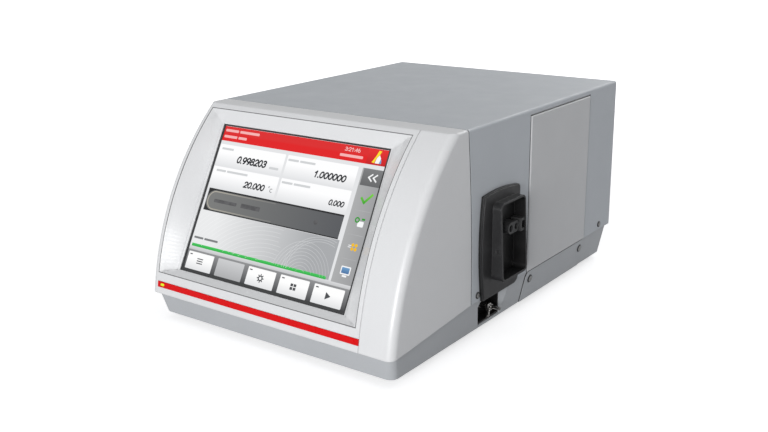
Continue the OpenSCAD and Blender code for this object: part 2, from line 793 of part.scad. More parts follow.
module plain_washer(r) difference() {
    rotate_extrude() polygon([[0, 0], [r, 0], [r, washer_h * 0.4], [r - 1, washer_h], [0, washer_h]]);
    translate([0, 0, -5]) cylinder(r = screw_r + 0.2, h = 10);
    translate([0, 0, washer_h * 0.3]) cylinder(r = r - 1.2, h = 5);
}

module cup_washers() in_frame() color("#2b2c2e") {
    at_cover_screws() plain_washer(washer_r);
    at_flap_screws() plain_washer(flap_washer_r);
}

// Screw whose head lies in a cup washer of radius r
module screw(r) difference() {
    union() {
        translate([0, 0, washer_h * 0.3]) cylinder(r = r - 1.4, h = washer_h * 0.7);
        translate([0, 0, -6]) cylinder(r = screw_r, h = 6 + washer_h * 0.5);
    }
    translate([0, 0, washer_h * 0.55]) cylinder(r = 1.2, h = 3, $fn = 6);
}

module housing_screws() in_frame() color("silver") {
    at_cover_screws() screw(washer_r);
    at_flap_screws() screw(flap_washer_r);
}

// ---- Filling adapter on the right side ----

// Rim outline in (Y, Z): bowed front edge and top edge
module rim_shape() {
    y0 = port_y - rim_front;
    y1 = port_y + rim_rear;
    z0 = rim_foot_z;
    z1 = port_z + rim_up;
    half = (z1 - z0) / 2;
    bow_r = (half ^ 2 + rim_bow ^ 2) / (2 * rim_bow);
    span = (y1 - y0) / 2;
    arch_r = (span ^ 2 + rim_arch ^ 2) / (2 * rim_arch);
    intersection() {
        translate([y0 + bow_r, (z0 + z1) / 2]) circle(r = bow_r, $fn = 360);
        translate([(y0 + y1) / 2 - 4, z1 - arch_r]) circle(r = arch_r, $fn = 360);
        translate([(y0 + y1) / 2, (z0 + z1) / 2]) rounded(y1 - y0, z1 - z0, 7);
    }
}

module hood_outline(inset) translate(hood_mid)
    rounded(hood_front + hood_rear - 2 * inset, hood_up + hood_down - 2 * inset, 7 - inset);

// Everything beyond the hood's leaning lip
module beyond_lip() {
    x0 = body_w / 2 + hood_reach;
    z0 = port_z - hood_down;
    z1 = port_z + hood_up;
    rise = hood_lean / (z1 - z0);
    along_y(port_y - 100, port_y + 100) polygon([[x0 + rise * 30, z0 - 30], [x0 - hood_lean - rise * 30, z1 + 30],
        [x0 + 40, z1 + 30], [x0 + 40, z0 - 30]]);
}

module adapter_hood() in_frame() color("#303133") difference() {
    union() {
        along_x(body_w / 2, body_w / 2 + rim_t - 1.2) rim_shape();
        along_x(body_w / 2 + rim_t - 1.2 - eps, body_w / 2 + rim_t)
            translate([port_y, port_z]) scale(0.975) translate([-port_y, -port_z]) rim_shape();
        along_x(body_w / 2 + 1, body_w / 2 + 30) hood_outline(0);
    }
    beyond_lip();
    along_x(body_w / 2 + 1.6, body_w / 2 + 40) hood_outline(hood_t);
    along_x(0, body_w) translate([port_y, port_z]) stadium(port_gap, port_r + port_t + seat_gap);
    // small latch slot in the front wall
    bar([body_w / 2 + hood_reach - 9, port_y - hood_front - 2, port_z - 21],
        [body_w / 2 + hood_reach - 5.5, port_y - hood_front + 5, port_z - 16]);
}

module at_ports() for (s = [-1, 1]) translate([0, port_y + s * port_gap / 2, port_z]) children();

// Inner body with the seals' seats
module filling_adapter() in_frame() color("#3b3c3e") difference() {
    union() {
        along_x(body_w / 2 - adapter_back, port_x) translate([port_y, port_z]) stadium(port_gap, port_r + port_t);
        // flange clamped behind the cover
        along_x(side_in - seat_gap - 3, side_in - seat_gap) translate([port_y, port_z]) rounded(40, 26, 3);
    }
    at_ports() {
        rod_x(port_r - 0.9, port_x - 3, port_x + 1, 0, 0);
        rod_x(1.2, 0, body_w, 0, 0);
        rod_x(sleeve_r + 0.05, 0, body_w / 2 - adapter_back + 4, 0, 0);
    }
}

// Outer block with the two ports, closing the seals in
module port_block() in_frame() color("#3b3c3e") difference() {
    along_x(port_x, tip_x) translate([port_y, port_z]) stadium(port_gap, port_r + port_t);
    at_ports() rod_x(port_r, port_x - 1, tip_x + 1, 0, 0);
}

module port_seals() in_frame() color("#141414") at_ports() difference() {
    rod_x(port_r - 0.95, port_x - 2.9, port_x - 0.2, 0, 0);
    rod_x(1.2, port_x - 5, port_x + 2, 0, 0);
}

// Open clip on the rear end of the ports' nose, with two prongs
module adapter_clip() in_frame() color("#3b3c3e") {
    y0 = port_y + port_gap / 2 + port_r + port_t + 0.1;
    y1 = port_y + hood_rear - hood_t - 0.1;
    x0 = body_w / 2 + 1.8;
    difference() {
        bar([x0, y0, port_z - 7], [tip_x + 2.5, y1, port_z + 7]);
        bar([tip_x - 5.5, y0 + 1.6, port_z - 4.2], [tip_x + 5, y1 + 1, port_z + 4.2]);
        rod_x(2, x0 - 1, tip_x + 3, y0 + 3.4, port_z);
    }
}

// ---- Outlet pocket ----

module pocket_liner() in_frame() color("#1b1c1e") intersection() {
    difference() {
        along_x(pocket_x + seat_gap, body_w) pocket_shape(liner_t);
        along_x(pocket_x + seat_gap + liner_t, body_w + 1) pocket_shape(0);
        rod_x(nozzle_root, 0, body_w, nozzle_y, nozzle_z);
    }
    tray_solid(0.4, foot_h);
    bar([0, 0, 0], [tray_half(cover_z)[0] - ramp_d - 0.4, body_l, cover_z]);
}

nozzle_y = pocket_y - 17;
nozzle_z = floor_z + 13;
nozzle_root = 2.6;
nozzle_mid = body_w / 2 - 9;

// Hose nozzle with a cap on top and a drain arm, on a stem through the liner
module outlet_nozzle() in_frame() color("gainsboro") {
    difference() {
        union() {
            rod_x(nozzle_root - 0.1, pocket_x - 8, nozzle_mid, nozzle_y, nozzle_z);
            rod_x(4, pocket_x + seat_gap + liner_t, pocket_x + seat_gap + liner_t + 2.5, nozzle_y, nozzle_z);
            translate([nozzle_mid, nozzle_y, nozzle_z - 4]) cylinder(r = 3.4, h = 7);
            translate([nozzle_mid, nozzle_y, nozzle_z + 3]) cylinder(r1 = 3, r2 = 2.2, h = 1);
            rod_x(nozzle_r, nozzle_mid, nozzle_mid + nozzle_l, nozzle_y, nozzle_z);
            rod_x(3, nozzle_mid, nozzle_mid + 4, nozzle_y, nozzle_z);
            translate([nozzle_mid, nozzle_y, nozzle_z - 1]) rotate([118, 0, 28])
                cylinder(r1 = 1.9, r2 = 1.4, h = 13);
        }
        rod_x(nozzle_bore, pocket_x - 10, nozzle_mid + nozzle_l + 1, nozzle_y, nozzle_z);
    }
}

// ---- Measuring cell ----

sleeve_r = 3;
tube_x0 = cell_x1 - 8 - tube_l;

module measuring_tube() in_frame() color("azure") {
    at_ports() difference() {
        rod_x(tube_r, tube_x0, cell_x1 + 2, 0, 0);
        rod_x(tube_r - tube_t, tube_x0 - 1, cell_x1 + 3, 0, 0);
    }
    // bend that joins the legs
    translate([tube_x0, port_y, port_z]) rotate([0, 0, 90]) rotate_extrude(angle = 180, $fn = 64)
        translate([port_gap / 2, 0]) difference() {
            circle(tube_r);
            circle(tube_r - tube_t);
        }
}

module tube_sleeves() in_frame() color("white") at_ports() difference() {
    rod_x(sleeve_r, cell_x1 - 1, body_w / 2 - adapter_back + 4, 0, 0);
    rod_x(tube_r + 0.05, cell_x1 - 2, cell_x1 + 2.1, 0, 0);
    rod_x(1.2, cell_x1, body_w, 0, 0);
}

module cell_jacket() in_frame() color("azure") difference() {
    rod_x(block_bore - 0.1, block_x0 + 3, cell_x1 - cap_t - 0.1, port_y, port_z);
    rod_x(block_bore - jacket_t, block_x0 - 1, cell_x1, port_y, port_z);
}

module cell_cap() in_frame() color("dimgray") difference() {
    union() {
        rod_x(block_bore - 0.1, cell_x1 - cap_t, cell_x1, port_y, port_z);
        along_x(cell_x1, cell_x1 + 3) translate([port_y, port_z]) rounded(block_s - 6, block_s - 6, 4);
    }
    at_ports() {
        rod_x(tube_r + 0.05, 0, cell_x1 - 1.1, 0, 0);
        rod_x(sleeve_r + 0.05, cell_x1 - 1.2, cell_x1 + 9, 0, 0);
    }
}

module thermostat_block() in_frame() color("silver") difference() {
    along_x(block_x0, cell_x1) translate([port_y, port_z]) rounded(block_s, block_s, 3);
    rod_x(block_bore, block_x0 - 1, cell_x1 + 1, port_y, port_z);
    // window for the camera
    translate([block_x0 + block_l / 2, port_y, port_z]) linear_extrude(block_s) stadium(40, 8);
    for (s = [-1, 1], z = [-1, 1]) rod_x(1.6, cell_x1 - 12, cell_x1 + 1, port_y + s * (block_s / 2 - 5),
        port_z + z * (block_s / 2 - 5));
}

module peltier_plates() in_frame() color("whitesmoke") for (s = [-1, 1])
    bar([block_x0 + block_l / 2 + s * 22 - 20, block_y1, port_z - 20],
        [block_x0 + block_l / 2 + s * 22 + 20, block_y1 + plate_t, port_z + 20]);

module heat_sink() in_frame() color("darkgray") {
    y0 = block_y1 + plate_t;
    z0 = block_z0;
    z1 = port_z + block_s / 2 + 10;
    bar([block_x0, y0, z0], [cell_x1, y0 + 6, z1]);
    for (i = [0:fin_n - 1]) let (x = block_x0 + i * (block_l - 2) / (fin_n - 1))
        bar([x, y0 + 6 - eps, z0], [x + 2, y0 + 6 + fin_l, z1]);
}

// Table that carries the block and the heat sink on the chassis
module cell_bracket() in_frame() color("silver") difference() {
    along_y(port_y - block_s / 2 + 4, block_y1 + plate_t + 5) bracket_profile();
    // way for the hose through the right leg
    bar([cell_x1 - 15, nozzle_y - 7, floor_z + sheet_t + 3], [cell_x1, nozzle_y + 7, nozzle_z + 9]);
}

module bracket_profile() {
    z0 = floor_z + sheet_t;
    translate([block_x0 + 4, block_z0 - 3]) square([block_l - 8, 3]);
    for (x = [block_x0 + 4, cell_x1 - 12]) translate([x, z0]) square([3, block_z0 - z0]);
    translate([block_x0 - 8, z0]) square([15, 3]);
    translate([cell_x1 - 25, z0]) square([16, 3]);
}

module cell_camera() in_frame() color("#2f3336") {
    x = block_x0 + block_l / 2;
    z = port_z + block_s / 2;
    difference() {
        translate([x, port_y, z]) linear_extrude(4) rounded(60, 30, 3);
        translate([x, port_y, z - 1]) cylinder(r = 6.2, h = 20);
    }
    difference() {
        translate([x, port_y, z + 4 - eps]) cylinder(r = 9, h = 14);
        translate([x, port_y, z]) cylinder(r = 6.2, h = 20);
    }
    translate([x, port_y, z + 18 - eps]) linear_extrude(1.6) rounded(36, 26, 2);
    translate([x - 6, port_y - 6, z + 19.6 - eps]) cube([12, 12, 2]);
}

// ---- Electronics ----

supply_size = [75, 110, 48];
supply_end = 38;
board_side = 38;
supply_at = [-body_w / 2 + board_side, panel_y - sheet_t - supply_end - supply_size[1], floor_z + sheet_t];
spacer_h = 6;
main_board_size = [118, 114, 1.6];
main_board_at = [-body_w / 2 + board_side + 6, chassis_y + 10, floor_z + sheet_t + spacer_h];
io_board_y = panel_y - sheet_t - 12;
io_board_z = [floor_z + sheet_t + 6, data_z + 17.5];
io_board_x = [-82, 46];

module main_board() in_frame() color("darkgreen") translate(main_board_at) {
    cube(main_board_size);
    translate([20, 30, 1.6 - eps]) cube([34, 34, 12]);
    translate([70, 24, 1.6 - eps]) cube([30, 14, 4]);
    for (y = [76, 92]) translate([14, y, 1.6 - eps]) cube([68, 6, 20]);
    for (i = [0:3]) translate([96, 62 + 12 * i, 1.6 - eps]) cylinder(r = 4, h = 12, $fn = 24);
}

module io_board() in_frame() color("darkgreen") {
    bar([io_board_x[0], io_board_y - 1.6, io_board_z[0]], [io_board_x[1], io_board_y, io_board_z[1]]);
    bar([io_board_x[0] + 20, io_board_y - 5.6, io_board_z[0] + 20],
        [io_board_x[0] + 60, io_board_y - 1.6 + eps, io_board_z[0] + 50]);
    // foot angle on the chassis
    bar([io_board_x[0] + 10, io_board_y - 20, floor_z + sheet_t], [io_board_x[0] + 40, io_board_y, floor_z + sheet_t + 2]);
    bar([io_board_x[0] + 10, io_board_y, floor_z + sheet_t], [io_board_x[0] + 40, io_board_y + 2, io_board_z[0] + 15]);
}

module board_spacers() in_frame() color("goldenrod") {
    for (x = [5, main_board_size[0] - 5], y = [5, main_board_size[1] - 5])
        translate([main_board_at[0] + x, main_board_at[1] + y, floor_z + sheet_t])
            cylinder(r = 3, h = main_board_at[2] - floor_z - sheet_t);
    on_slope() for (s = [-1, 1], y = [4, display_board_size[1] - 4])
        translate([s * screen_w / 5, display_board_y + y, -stack_t - bracket_t - spacer_l])
            cylinder(r = 3, h = spacer_l);
}

// Ventilated box of the power supply
module power_supply() in_frame() color("lightgray") translate(supply_at) difference() {
    cube(supply_size);
    translate([sheet_t, sheet_t, sheet_t]) cube(supply_size - [2, 2, 2] * sheet_t);
    for (i = [0:7], j = [0:3]) translate([14 + i * 6.6, 24 + j * 20, supply_size[2] - 5])
        linear_extrude(10) rotate(90) stadium(11, 1.4);
}

pump_at = [chassis_x - 55, door_y + 10, floor_z + sheet_t];

// Diaphragm pump: motor, head at the front and two hose stubs
module air_pump() in_frame() color("#4a4d52") translate(pump_at) {
    cube([34, 70, 3]);
    translate([17, 22, 18]) rotate([-90, 0, 0]) cylinder(r = 14, h = 40);
    translate([13, 22, 2]) cube([8, 40, 6]);
    translate([2, 2, 3 - eps]) cube([30, 20 + eps, 31]);
    for (x = [10, 24]) translate([x, 12, 34 - eps]) cylinder(r = hose_r, h = pump_stub);
}

pump_stub = 8;
hose_r = 2.4;
hose_bend = 8;
hose_top = pump_at[2] + 34 + pump_stub + hose_bend + 4;
hose_in = [pump_at[0] + 24, pump_at[1] + 12, pump_at[2] + 34 + pump_stub];
hose_out = [pocket_x - 8, nozzle_y, nozzle_z];

module hose_section() difference() {
    circle(hose_r);
    circle(hose_r / 2);
}

module hose_bend(at, turn, start) translate(at) rotate(turn) rotate([0, 0, start]) rotate_extrude(angle = 90)
    translate([hose_bend, 0]) hose_section();

// Soft hose: up from the pump, forward, down and out to the stem of the outlet
module pump_hose() in_frame() color("ivory") {
    x = hose_in[0];
    translate(hose_in) linear_extrude(hose_top - hose_bend - hose_in[2]) hose_section();
    hose_bend([x, hose_in[1] - hose_bend, hose_top - hose_bend], [90, 0, 90], 0);
    along_y(hose_out[1] + hose_bend, hose_in[1] - hose_bend) translate([x, hose_top]) hose_section();
    hose_bend([x, hose_out[1] + hose_bend, hose_top - hose_bend], [90, 0, 90], 90);
    translate([x, hose_out[1], hose_out[2] + hose_bend])
        linear_extrude(hose_top - hose_out[2] - 2 * hose_bend) hose_section();
    hose_bend([x + hose_bend, hose_out[1], hose_out[2] + hose_bend], [90, 0, 0], 180);
    along_x(x + hose_bend, hose_out[0]) translate([hose_out[1], hose_out[2]]) hose_section();
}

// ---- Power inlet with switch and fuse drawer ----

module inlet_cut(w, h, z, depth) bar([-inlet_x - w / 2, panel_y + inlet_flange - depth, z - h / 2],
    [-inlet_x + w / 2, panel_y + inlet_flange + 5, z + h / 2]);

module power_inlet() in_frame() color("#222326") difference() {
    union() {
        along_y(panel_y, panel_y + inlet_flange) translate([-inlet_x, inlet_z]) rounded(inlet_w, inlet_h, 3);
        bar([-inlet_x - inlet_w / 2 + 2.2, panel_y - inlet_d, inlet_z - inlet_h / 2 + 3.2],
            [-inlet_x + inlet_w / 2 - 2.2, panel_y + 1, inlet_z + inlet_h / 2 - 3.2]);
    }
    // socket for the mains plug, with its two upper corners cut off
    along_y(panel_y + inlet_flange - socket_d, panel_y + 10) translate([-inlet_x, socket_z])
        polygon([[-socket_w / 2, -socket_h / 2], [socket_w / 2, -socket_h / 2], [socket_w / 2, socket_h / 2 - 5],
            [socket_w / 2 - 5, socket_h / 2], [-socket_w / 2 + 5, socket_h / 2], [-socket_w / 2, socket_h / 2 - 5]]);
    inlet_cut(drawer_w + 2 * seat_gap, drawer_h + 2 * seat_gap, drawer_z, drawer_out + 12);
    inlet_cut(rocker_w + 0.8, rocker_h + 1.6, rocker_z, 14);
    rod_x(pivot_r + 0.05, -inlet_x - rocker_w / 2 - 1.4, -inlet_x + rocker_w / 2 + 1.4, rocker_y, rocker_z);
    at_pins() bar([-1.05, panel_y - inlet_d - 5, -2.05], [1.05, panel_y, 2.05]);
}

rocker_y = panel_y + inlet_flange - 4;

module at_pins() for (p = [[-7, -1.5], [0, 2.5], [7, -1.5]]) translate([-inlet_x + p[0], 0, socket_z + p[1]]) children();

module inlet_pins() in_frame() color("gold") at_pins()
    bar([-1, panel_y - inlet_d - 6, -2], [1, panel_y + inlet_flange - 3, 2]);

// Rocker, resting with its upper half pressed out: a bent paddle on a cross pin
module switch_rocker() in_frame() color("#17181a") translate([-inlet_x, rocker_y, rocker_z])
    rotate([rocker_tilt, 0, 0]) {
        half = rocker_h / 2;
        rise = 5.2;
        drop = half * sin(rocker_tilt) * 1.6;
        along_x(-rocker_w / 2, rocker_w / 2) polygon([[-4, -half + 1.6], [rise, -half + 0.4], [rise - drop / 2, 0],
            [rise, half - 0.4], [-4, half - 1.6]]);
        rod_x(pivot_r, -rocker_w / 2 - 1.2, rocker_w / 2 + 1.2, 0, 0);
    }

fuse_r = 2.6;
fuse_l = 20;
fuse_y = panel_y + inlet_flange - drawer_out - 8;

module fuse_drawer() in_frame() color("#1e1f22") difference() {
    bar([-inlet_x - drawer_w / 2, fuse_y - 3, drawer_z - drawer_h / 2],
        [-inlet_x + drawer_w / 2, panel_y + inlet_flange + 1.4, drawer_z + drawer_h / 2]);
    // beds of the two fuses, open at the top
    for (s = [-1, 1]) bar([-inlet_x + s * 5.2 - fuse_r - 0.1, fuse_y - 0.1, drawer_z - 1.6],
        [-inlet_x + s * 5.2 + fuse_r + 0.1, fuse_y + fuse_l + 0.1, drawer_z + drawer_h]);
    // grip notch
    bar([-inlet_x - 4, panel_y + inlet_flange + 0.4, drawer_z - drawer_h / 2 - 1],
        [-inlet_x + 4, panel_y + inlet_flange + 3, drawer_z - drawer_h / 2 + 2.5]);
}

module fuses() in_frame() color("whitesmoke") for (s = [-1, 1])
    rod_y(fuse_r, -inlet_x + s * 5.2, fuse_y, fuse_y + fuse_l, drawer_z + 1.05);

// ---- Fan ----

fan_y0 = panel_y - sheet_t - fan_d;

module fan_frame() in_frame() color("#242527") difference() {
    along_y(fan_y0, panel_y - sheet_t) translate([fan_x, fan_z]) rounded(fan_s, fan_s, 5);
    difference() {
        rod_y(fan_r, fan_x, fan_y0 - 1, panel_y, fan_z);
        // motor seat and its four struts at the inner side
        rod_y(hub_r - 1, fan_x, fan_y0, fan_y0 + 3.5, fan_z);
        for (a = [45:90:315]) translate([fan_x, fan_y0, fan_z]) rotate([0, a, 0]) bar([0, 0, -2], [fan_s, 3, 2]);
    }
    for (s = fan_holes) rod_y(2.2, s[0], fan_y0 - 1, panel_y, s[1]);
    rod_y(2, fan_x, fan_y0 - 1, fan_y0 + 5, fan_z);
}

module fan_rotor() in_frame() color("#303236") {
    y0 = fan_y0 + 4;
    difference() {
        rod_y(hub_r, fan_x, y0, y0 + hub_l, fan_z);
        rod_y(hub_r - 2, fan_x, y0 - 1, y0 + hub_l - 5, fan_z);
    }
    rod_y(1.95, fan_x, fan_y0 + 0.2, y0 + hub_l - 4, fan_z);
    // pitched blades, trimmed to the bore of the frame
    for (i = [0:blade_n - 1]) intersection() {
        translate([fan_x, y0 + hub_l / 2, fan_z]) rotate([0, i * 360 / blade_n, 0])
            translate([hub_r - 1, 0, 0]) rotate([38, 0, 0]) bar([0, -0.8, -fan_d / 2], [fan_r, 0.8, fan_d / 2]);
        difference() {
            rod_y(fan_r - 1, fan_x, y0, y0 + hub_l, fan_z);
            rod_y(hub_r - 0.5, fan_x, y0 - 1, y0 + hub_l + 3, fan_z);
        }
    }
}

module wire_ring(r) translate([fan_x, panel_y + 2.6 * wire_r, fan_z]) rotate([90, 0, 0])
    rotate_extrude($fn = 64) translate([r, 0]) circle(r = wire_r, $fn = 16);

// Finger guard: wire rings welded on a cross of wires that end in the screw eyes
module fan_guard() in_frame() color("silver") difference() {
    union() {
        for (i = [0:4]) wire_ring(8 + i * (fan_r - 10) / 4);
        for (a = [45, 135]) translate([fan_x, panel_y + wire_r, fan_z]) rotate([0, a, 0])
            rod_x(wire_r, -fan_hole * sqrt(2), fan_hole * sqrt(2), 0, 0);
        for (s = fan_holes) rod_y(4, s[0], panel_y, panel_y + 2.3 * wire_r, s[1]);
    }
    for (s = fan_holes) rod_y(2.2, s[0], panel_y - 1, panel_y + 4, s[1]);
}

// ---- Data ports ----

module usb_ports() in_frame() color("silver") for (x = usb_x) difference() {
    bar([x - 7, io_board_y, data_z - 3.5], [x + 7, panel_y + 1.2, data_z + 3.5]);
    difference() {
        bar([x - 6.3, io_board_y + 3, data_z - 2.8], [x + 6.3, panel_y + 2, data_z + 2.8]);
        bar([x - 5.6, io_board_y + 2, data_z + 0.4], [x + 5.6, panel_y + 0.4, data_z + 2.2]);
    }
}

module lan_port() in_frame() color("silver") difference() {
    bar([lan_x - 8, io_board_y, data_z - 6.8], [lan_x + 8, panel_y + 1.2, data_z + 6.8]);
    bar([lan_x - 5.9, io_board_y + 2, data_z - 4.5], [lan_x + 5.9, panel_y + 2, data_z + 3.2]);
    bar([lan_x - 3, io_board_y + 6, data_z - 6], [lan_x + 3, panel_y + 2, data_z - 4]);
}

// Trapezoid of a serial port's shell
module dsub_shape(w, h) hull() for (s = [-1, 1]) {
    translate([s * (w - 1.5), h - 2.6]) circle(r = 1.5, $fn = 24);
    translate([s * (w - 2.7), -h + 2.6]) circle(r = 1.5, $fn = 24);
}

module serial_ports() in_frame() color("silver") for (z = serial_z) {
    difference() {
        union() {
            along_y(io_board_y, panel_y + rear_reach) translate([serial_x, z]) dsub_shape(8.9, 5.7);
            along_y(panel_y, panel_y + 1) translate([serial_x, z]) rounded(30.8, 12.6, 1.5);
            for (s = [-1, 1]) rod_y(2.6, serial_x + s * 12.5, panel_y, panel_y + 5, z);
        }
        along_y(panel_y + 0.5, panel_y + 10) translate([serial_x, z]) dsub_shape(8.3, 5.1);
        for (s = [-1, 1]) rod_y(1.2, serial_x + s * 12.5, panel_y + 1, panel_y + 10, z);
    }
    for (i = [0:8]) rod_y(0.5, serial_x + (i < 5 ? (i - 2) : (i - 6.5)) * 2.7, panel_y - 2,
        panel_y + rear_reach - 1.2, z + (i < 5 ? 1.4 : -1.4));
}

module rear_screws() in_frame() color("silver") {
    for (p = fan_holes) {
        rod_y(3.4, p[0], panel_y + 2.3 * wire_r, panel_y + 2.3 * wire_r + 2, p[1]);
        rod_y(2, p[0], fan_y0 + 4, panel_y + 2 * wire_r + 1, p[1]);
    }
    for (p = rear_screws_at) {
        rod_y(3, p[0], panel_y, panel_y + 2, p[1]);
        rod_y(1.5, p[0], panel_y - 8, panel_y + 1, p[1]);
    }
}

front_bezel();
screen_gasket();
touch_glass();
display_module();
display_bracket();
display_board();
trim_strip();
status_lens();
top_cover();
base_tray();
base_feet();
foot_screws();
chassis();
rear_panel();
bay_door();
bay_plate();
base_flap();
cup_washers();
housing_screws();
adapter_hood();
filling_adapter();
port_block();
port_seals();
adapter_clip();
pocket_liner();
outlet_nozzle();
measuring_tube();
tube_sleeves();
cell_jacket();
cell_cap();
thermostat_block();
peltier_plates();
heat_sink();
cell_bracket();
cell_camera();
main_board();
io_board();
board_spacers();
power_supply();
air_pump();
pump_hose();
power_inlet();
inlet_pins();
switch_rocker();
fuse_drawer();
fuses();
fan_frame();
fan_rotor();
fan_guard();
usb_ports();
lan_port();
serial_ports();
rear_screws();
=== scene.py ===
"""Looks of the benchtop density meter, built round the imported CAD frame. Metres; X right, Y rear, Z up."""
import json
import math

import bpy
from mathutils import Matrix, Vector


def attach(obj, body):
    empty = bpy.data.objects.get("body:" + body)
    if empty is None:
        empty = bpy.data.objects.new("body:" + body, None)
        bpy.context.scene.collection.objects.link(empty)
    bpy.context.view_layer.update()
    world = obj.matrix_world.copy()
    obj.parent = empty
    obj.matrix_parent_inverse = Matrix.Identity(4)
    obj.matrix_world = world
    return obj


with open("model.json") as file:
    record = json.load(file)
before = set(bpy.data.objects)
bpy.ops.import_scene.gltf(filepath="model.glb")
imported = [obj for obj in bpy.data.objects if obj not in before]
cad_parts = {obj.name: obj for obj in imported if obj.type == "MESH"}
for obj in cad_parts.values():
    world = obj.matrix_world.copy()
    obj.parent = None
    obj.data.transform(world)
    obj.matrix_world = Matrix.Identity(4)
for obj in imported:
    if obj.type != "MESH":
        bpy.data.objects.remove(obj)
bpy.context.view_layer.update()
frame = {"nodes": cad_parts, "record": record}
nodes = frame["nodes"]
scene = bpy.context.scene

MM = 0.001


# ---- Places in the part's own millimetres: X from the middle, Y from the front's foot, Z from the bench ----

# Middle of the frame
MID_X, MID_Y = 8.4, 244.0

# Outer skin of the housing, and the radius of its long edges
HALF_WIDTH, HEIGHT, EDGE_R = 165.0, 230.0, 3.0

# Heights over that skin under which the cover's cut edges and the front's lip lie, and where the lip begins;
# what lies under them is painted dark as the shade in the seams
COVER_EDGE, LIP_EDGE, LIP_FRONT = -0.35, -0.9, 118.0

# All of the door that lies inside this is in its gap, and is painted dark as the shade there
DOOR_SKIN = 164.85

# Slope that carries the screen: its middle, its foot (Y, Z) and its angle
SCREEN_MID = -17.9
SCREEN_FOOT = (0.0, 33.0)
SLOPE = math.atan2(197.0, 107.0)

# Recess: half width, middle and half height of its outline up the slope, and half width of the window
RECESS_HALF, RECESS_UP, RECESS_HIGH = 137.5, 119.9, 97.3
WINDOW_HALF = 115.5

# Painted shade line along the crease of that outline: half its width, how dark it is, and how far back it
# runs
CREASE_SHADE_HALF, CREASE_SHADE_DARK, CREASE_SHADE_REAR = 0.48, 0.85, 112.0

# Soft shading of the recess' bent walls: how far it keeps off their edges, and its radius
WALL_INSET, WALL_RADIUS = 1.6, 5.5

# Tray's side: half width at its top, the top's height, and how far it widens for each mm of height
TRAY_TOP_X, TRAY_TOP_Z, TRAY_SLANT = 163.5, 44.0, 5.5 / 36.0

# Opening for the flap in the tray: front and rear, and the height where its front edge bends
FLAP_FRONT, FLAP_REAR, FLAP_BEND_Z = 260.2, 408.4, 38.0

# How far that edge runs back for each mm of height, under the bend and over it
FLAP_LOW_SLANT, FLAP_HIGH_SLANT = 6.0 / 35.0, 4.0 / 6.0

# Walls of the flap's gap lie between these two, measured outwards from the tray's side; they are painted dark
# as the shade in the gap
FLAP_DEEP, FLAP_SKIN = -4.0, 0.45

# Hood: middle and half size of its inside (Y, Z), and how strongly painted shade darkens that
HOOD_MID, HOOD_HALF, HOOD_DARK = (200.25, 103.7), (24.7, 40.45), 0.72

# Face of the adapter's rim, and how strongly painted shade darkens the rim behind it
RIM_FACE, RIM_DARK = 167.6, 0.8

# Top of the glass, measured from the window's plane and so below it
GLASS = -1.8

# Lowest and highest place up the slope where the picture's ring lines are drawn
RINGS_LOW, RINGS_TOP = 61.5, 100.8


# ---- Colours ----

def srgb(r, g, b):
    def one(v):
        v /= 255.0
        return v / 12.92 if v <= 0.04045 else ((v + 0.055) / 1.055) ** 2.4
    return one(r), one(g), one(b)


def shade(colour, by):
    return tuple(min(1.0, max(0.0, c * by)) for c in colour)


BEZEL = (0.67, 0.675, 0.685)
COVER = (0.47, 0.495, 0.525)
DOOR = (0.55, 0.555, 0.565)
BASE = (0.435, 0.45, 0.468)
# Painted shade put in the depths of gaps and seams
GAP_SHADE = (0.035, 0.036, 0.038)
WHITE = srgb(246, 247, 248)
INK = srgb(40, 42, 46)


# ---- Materials ----

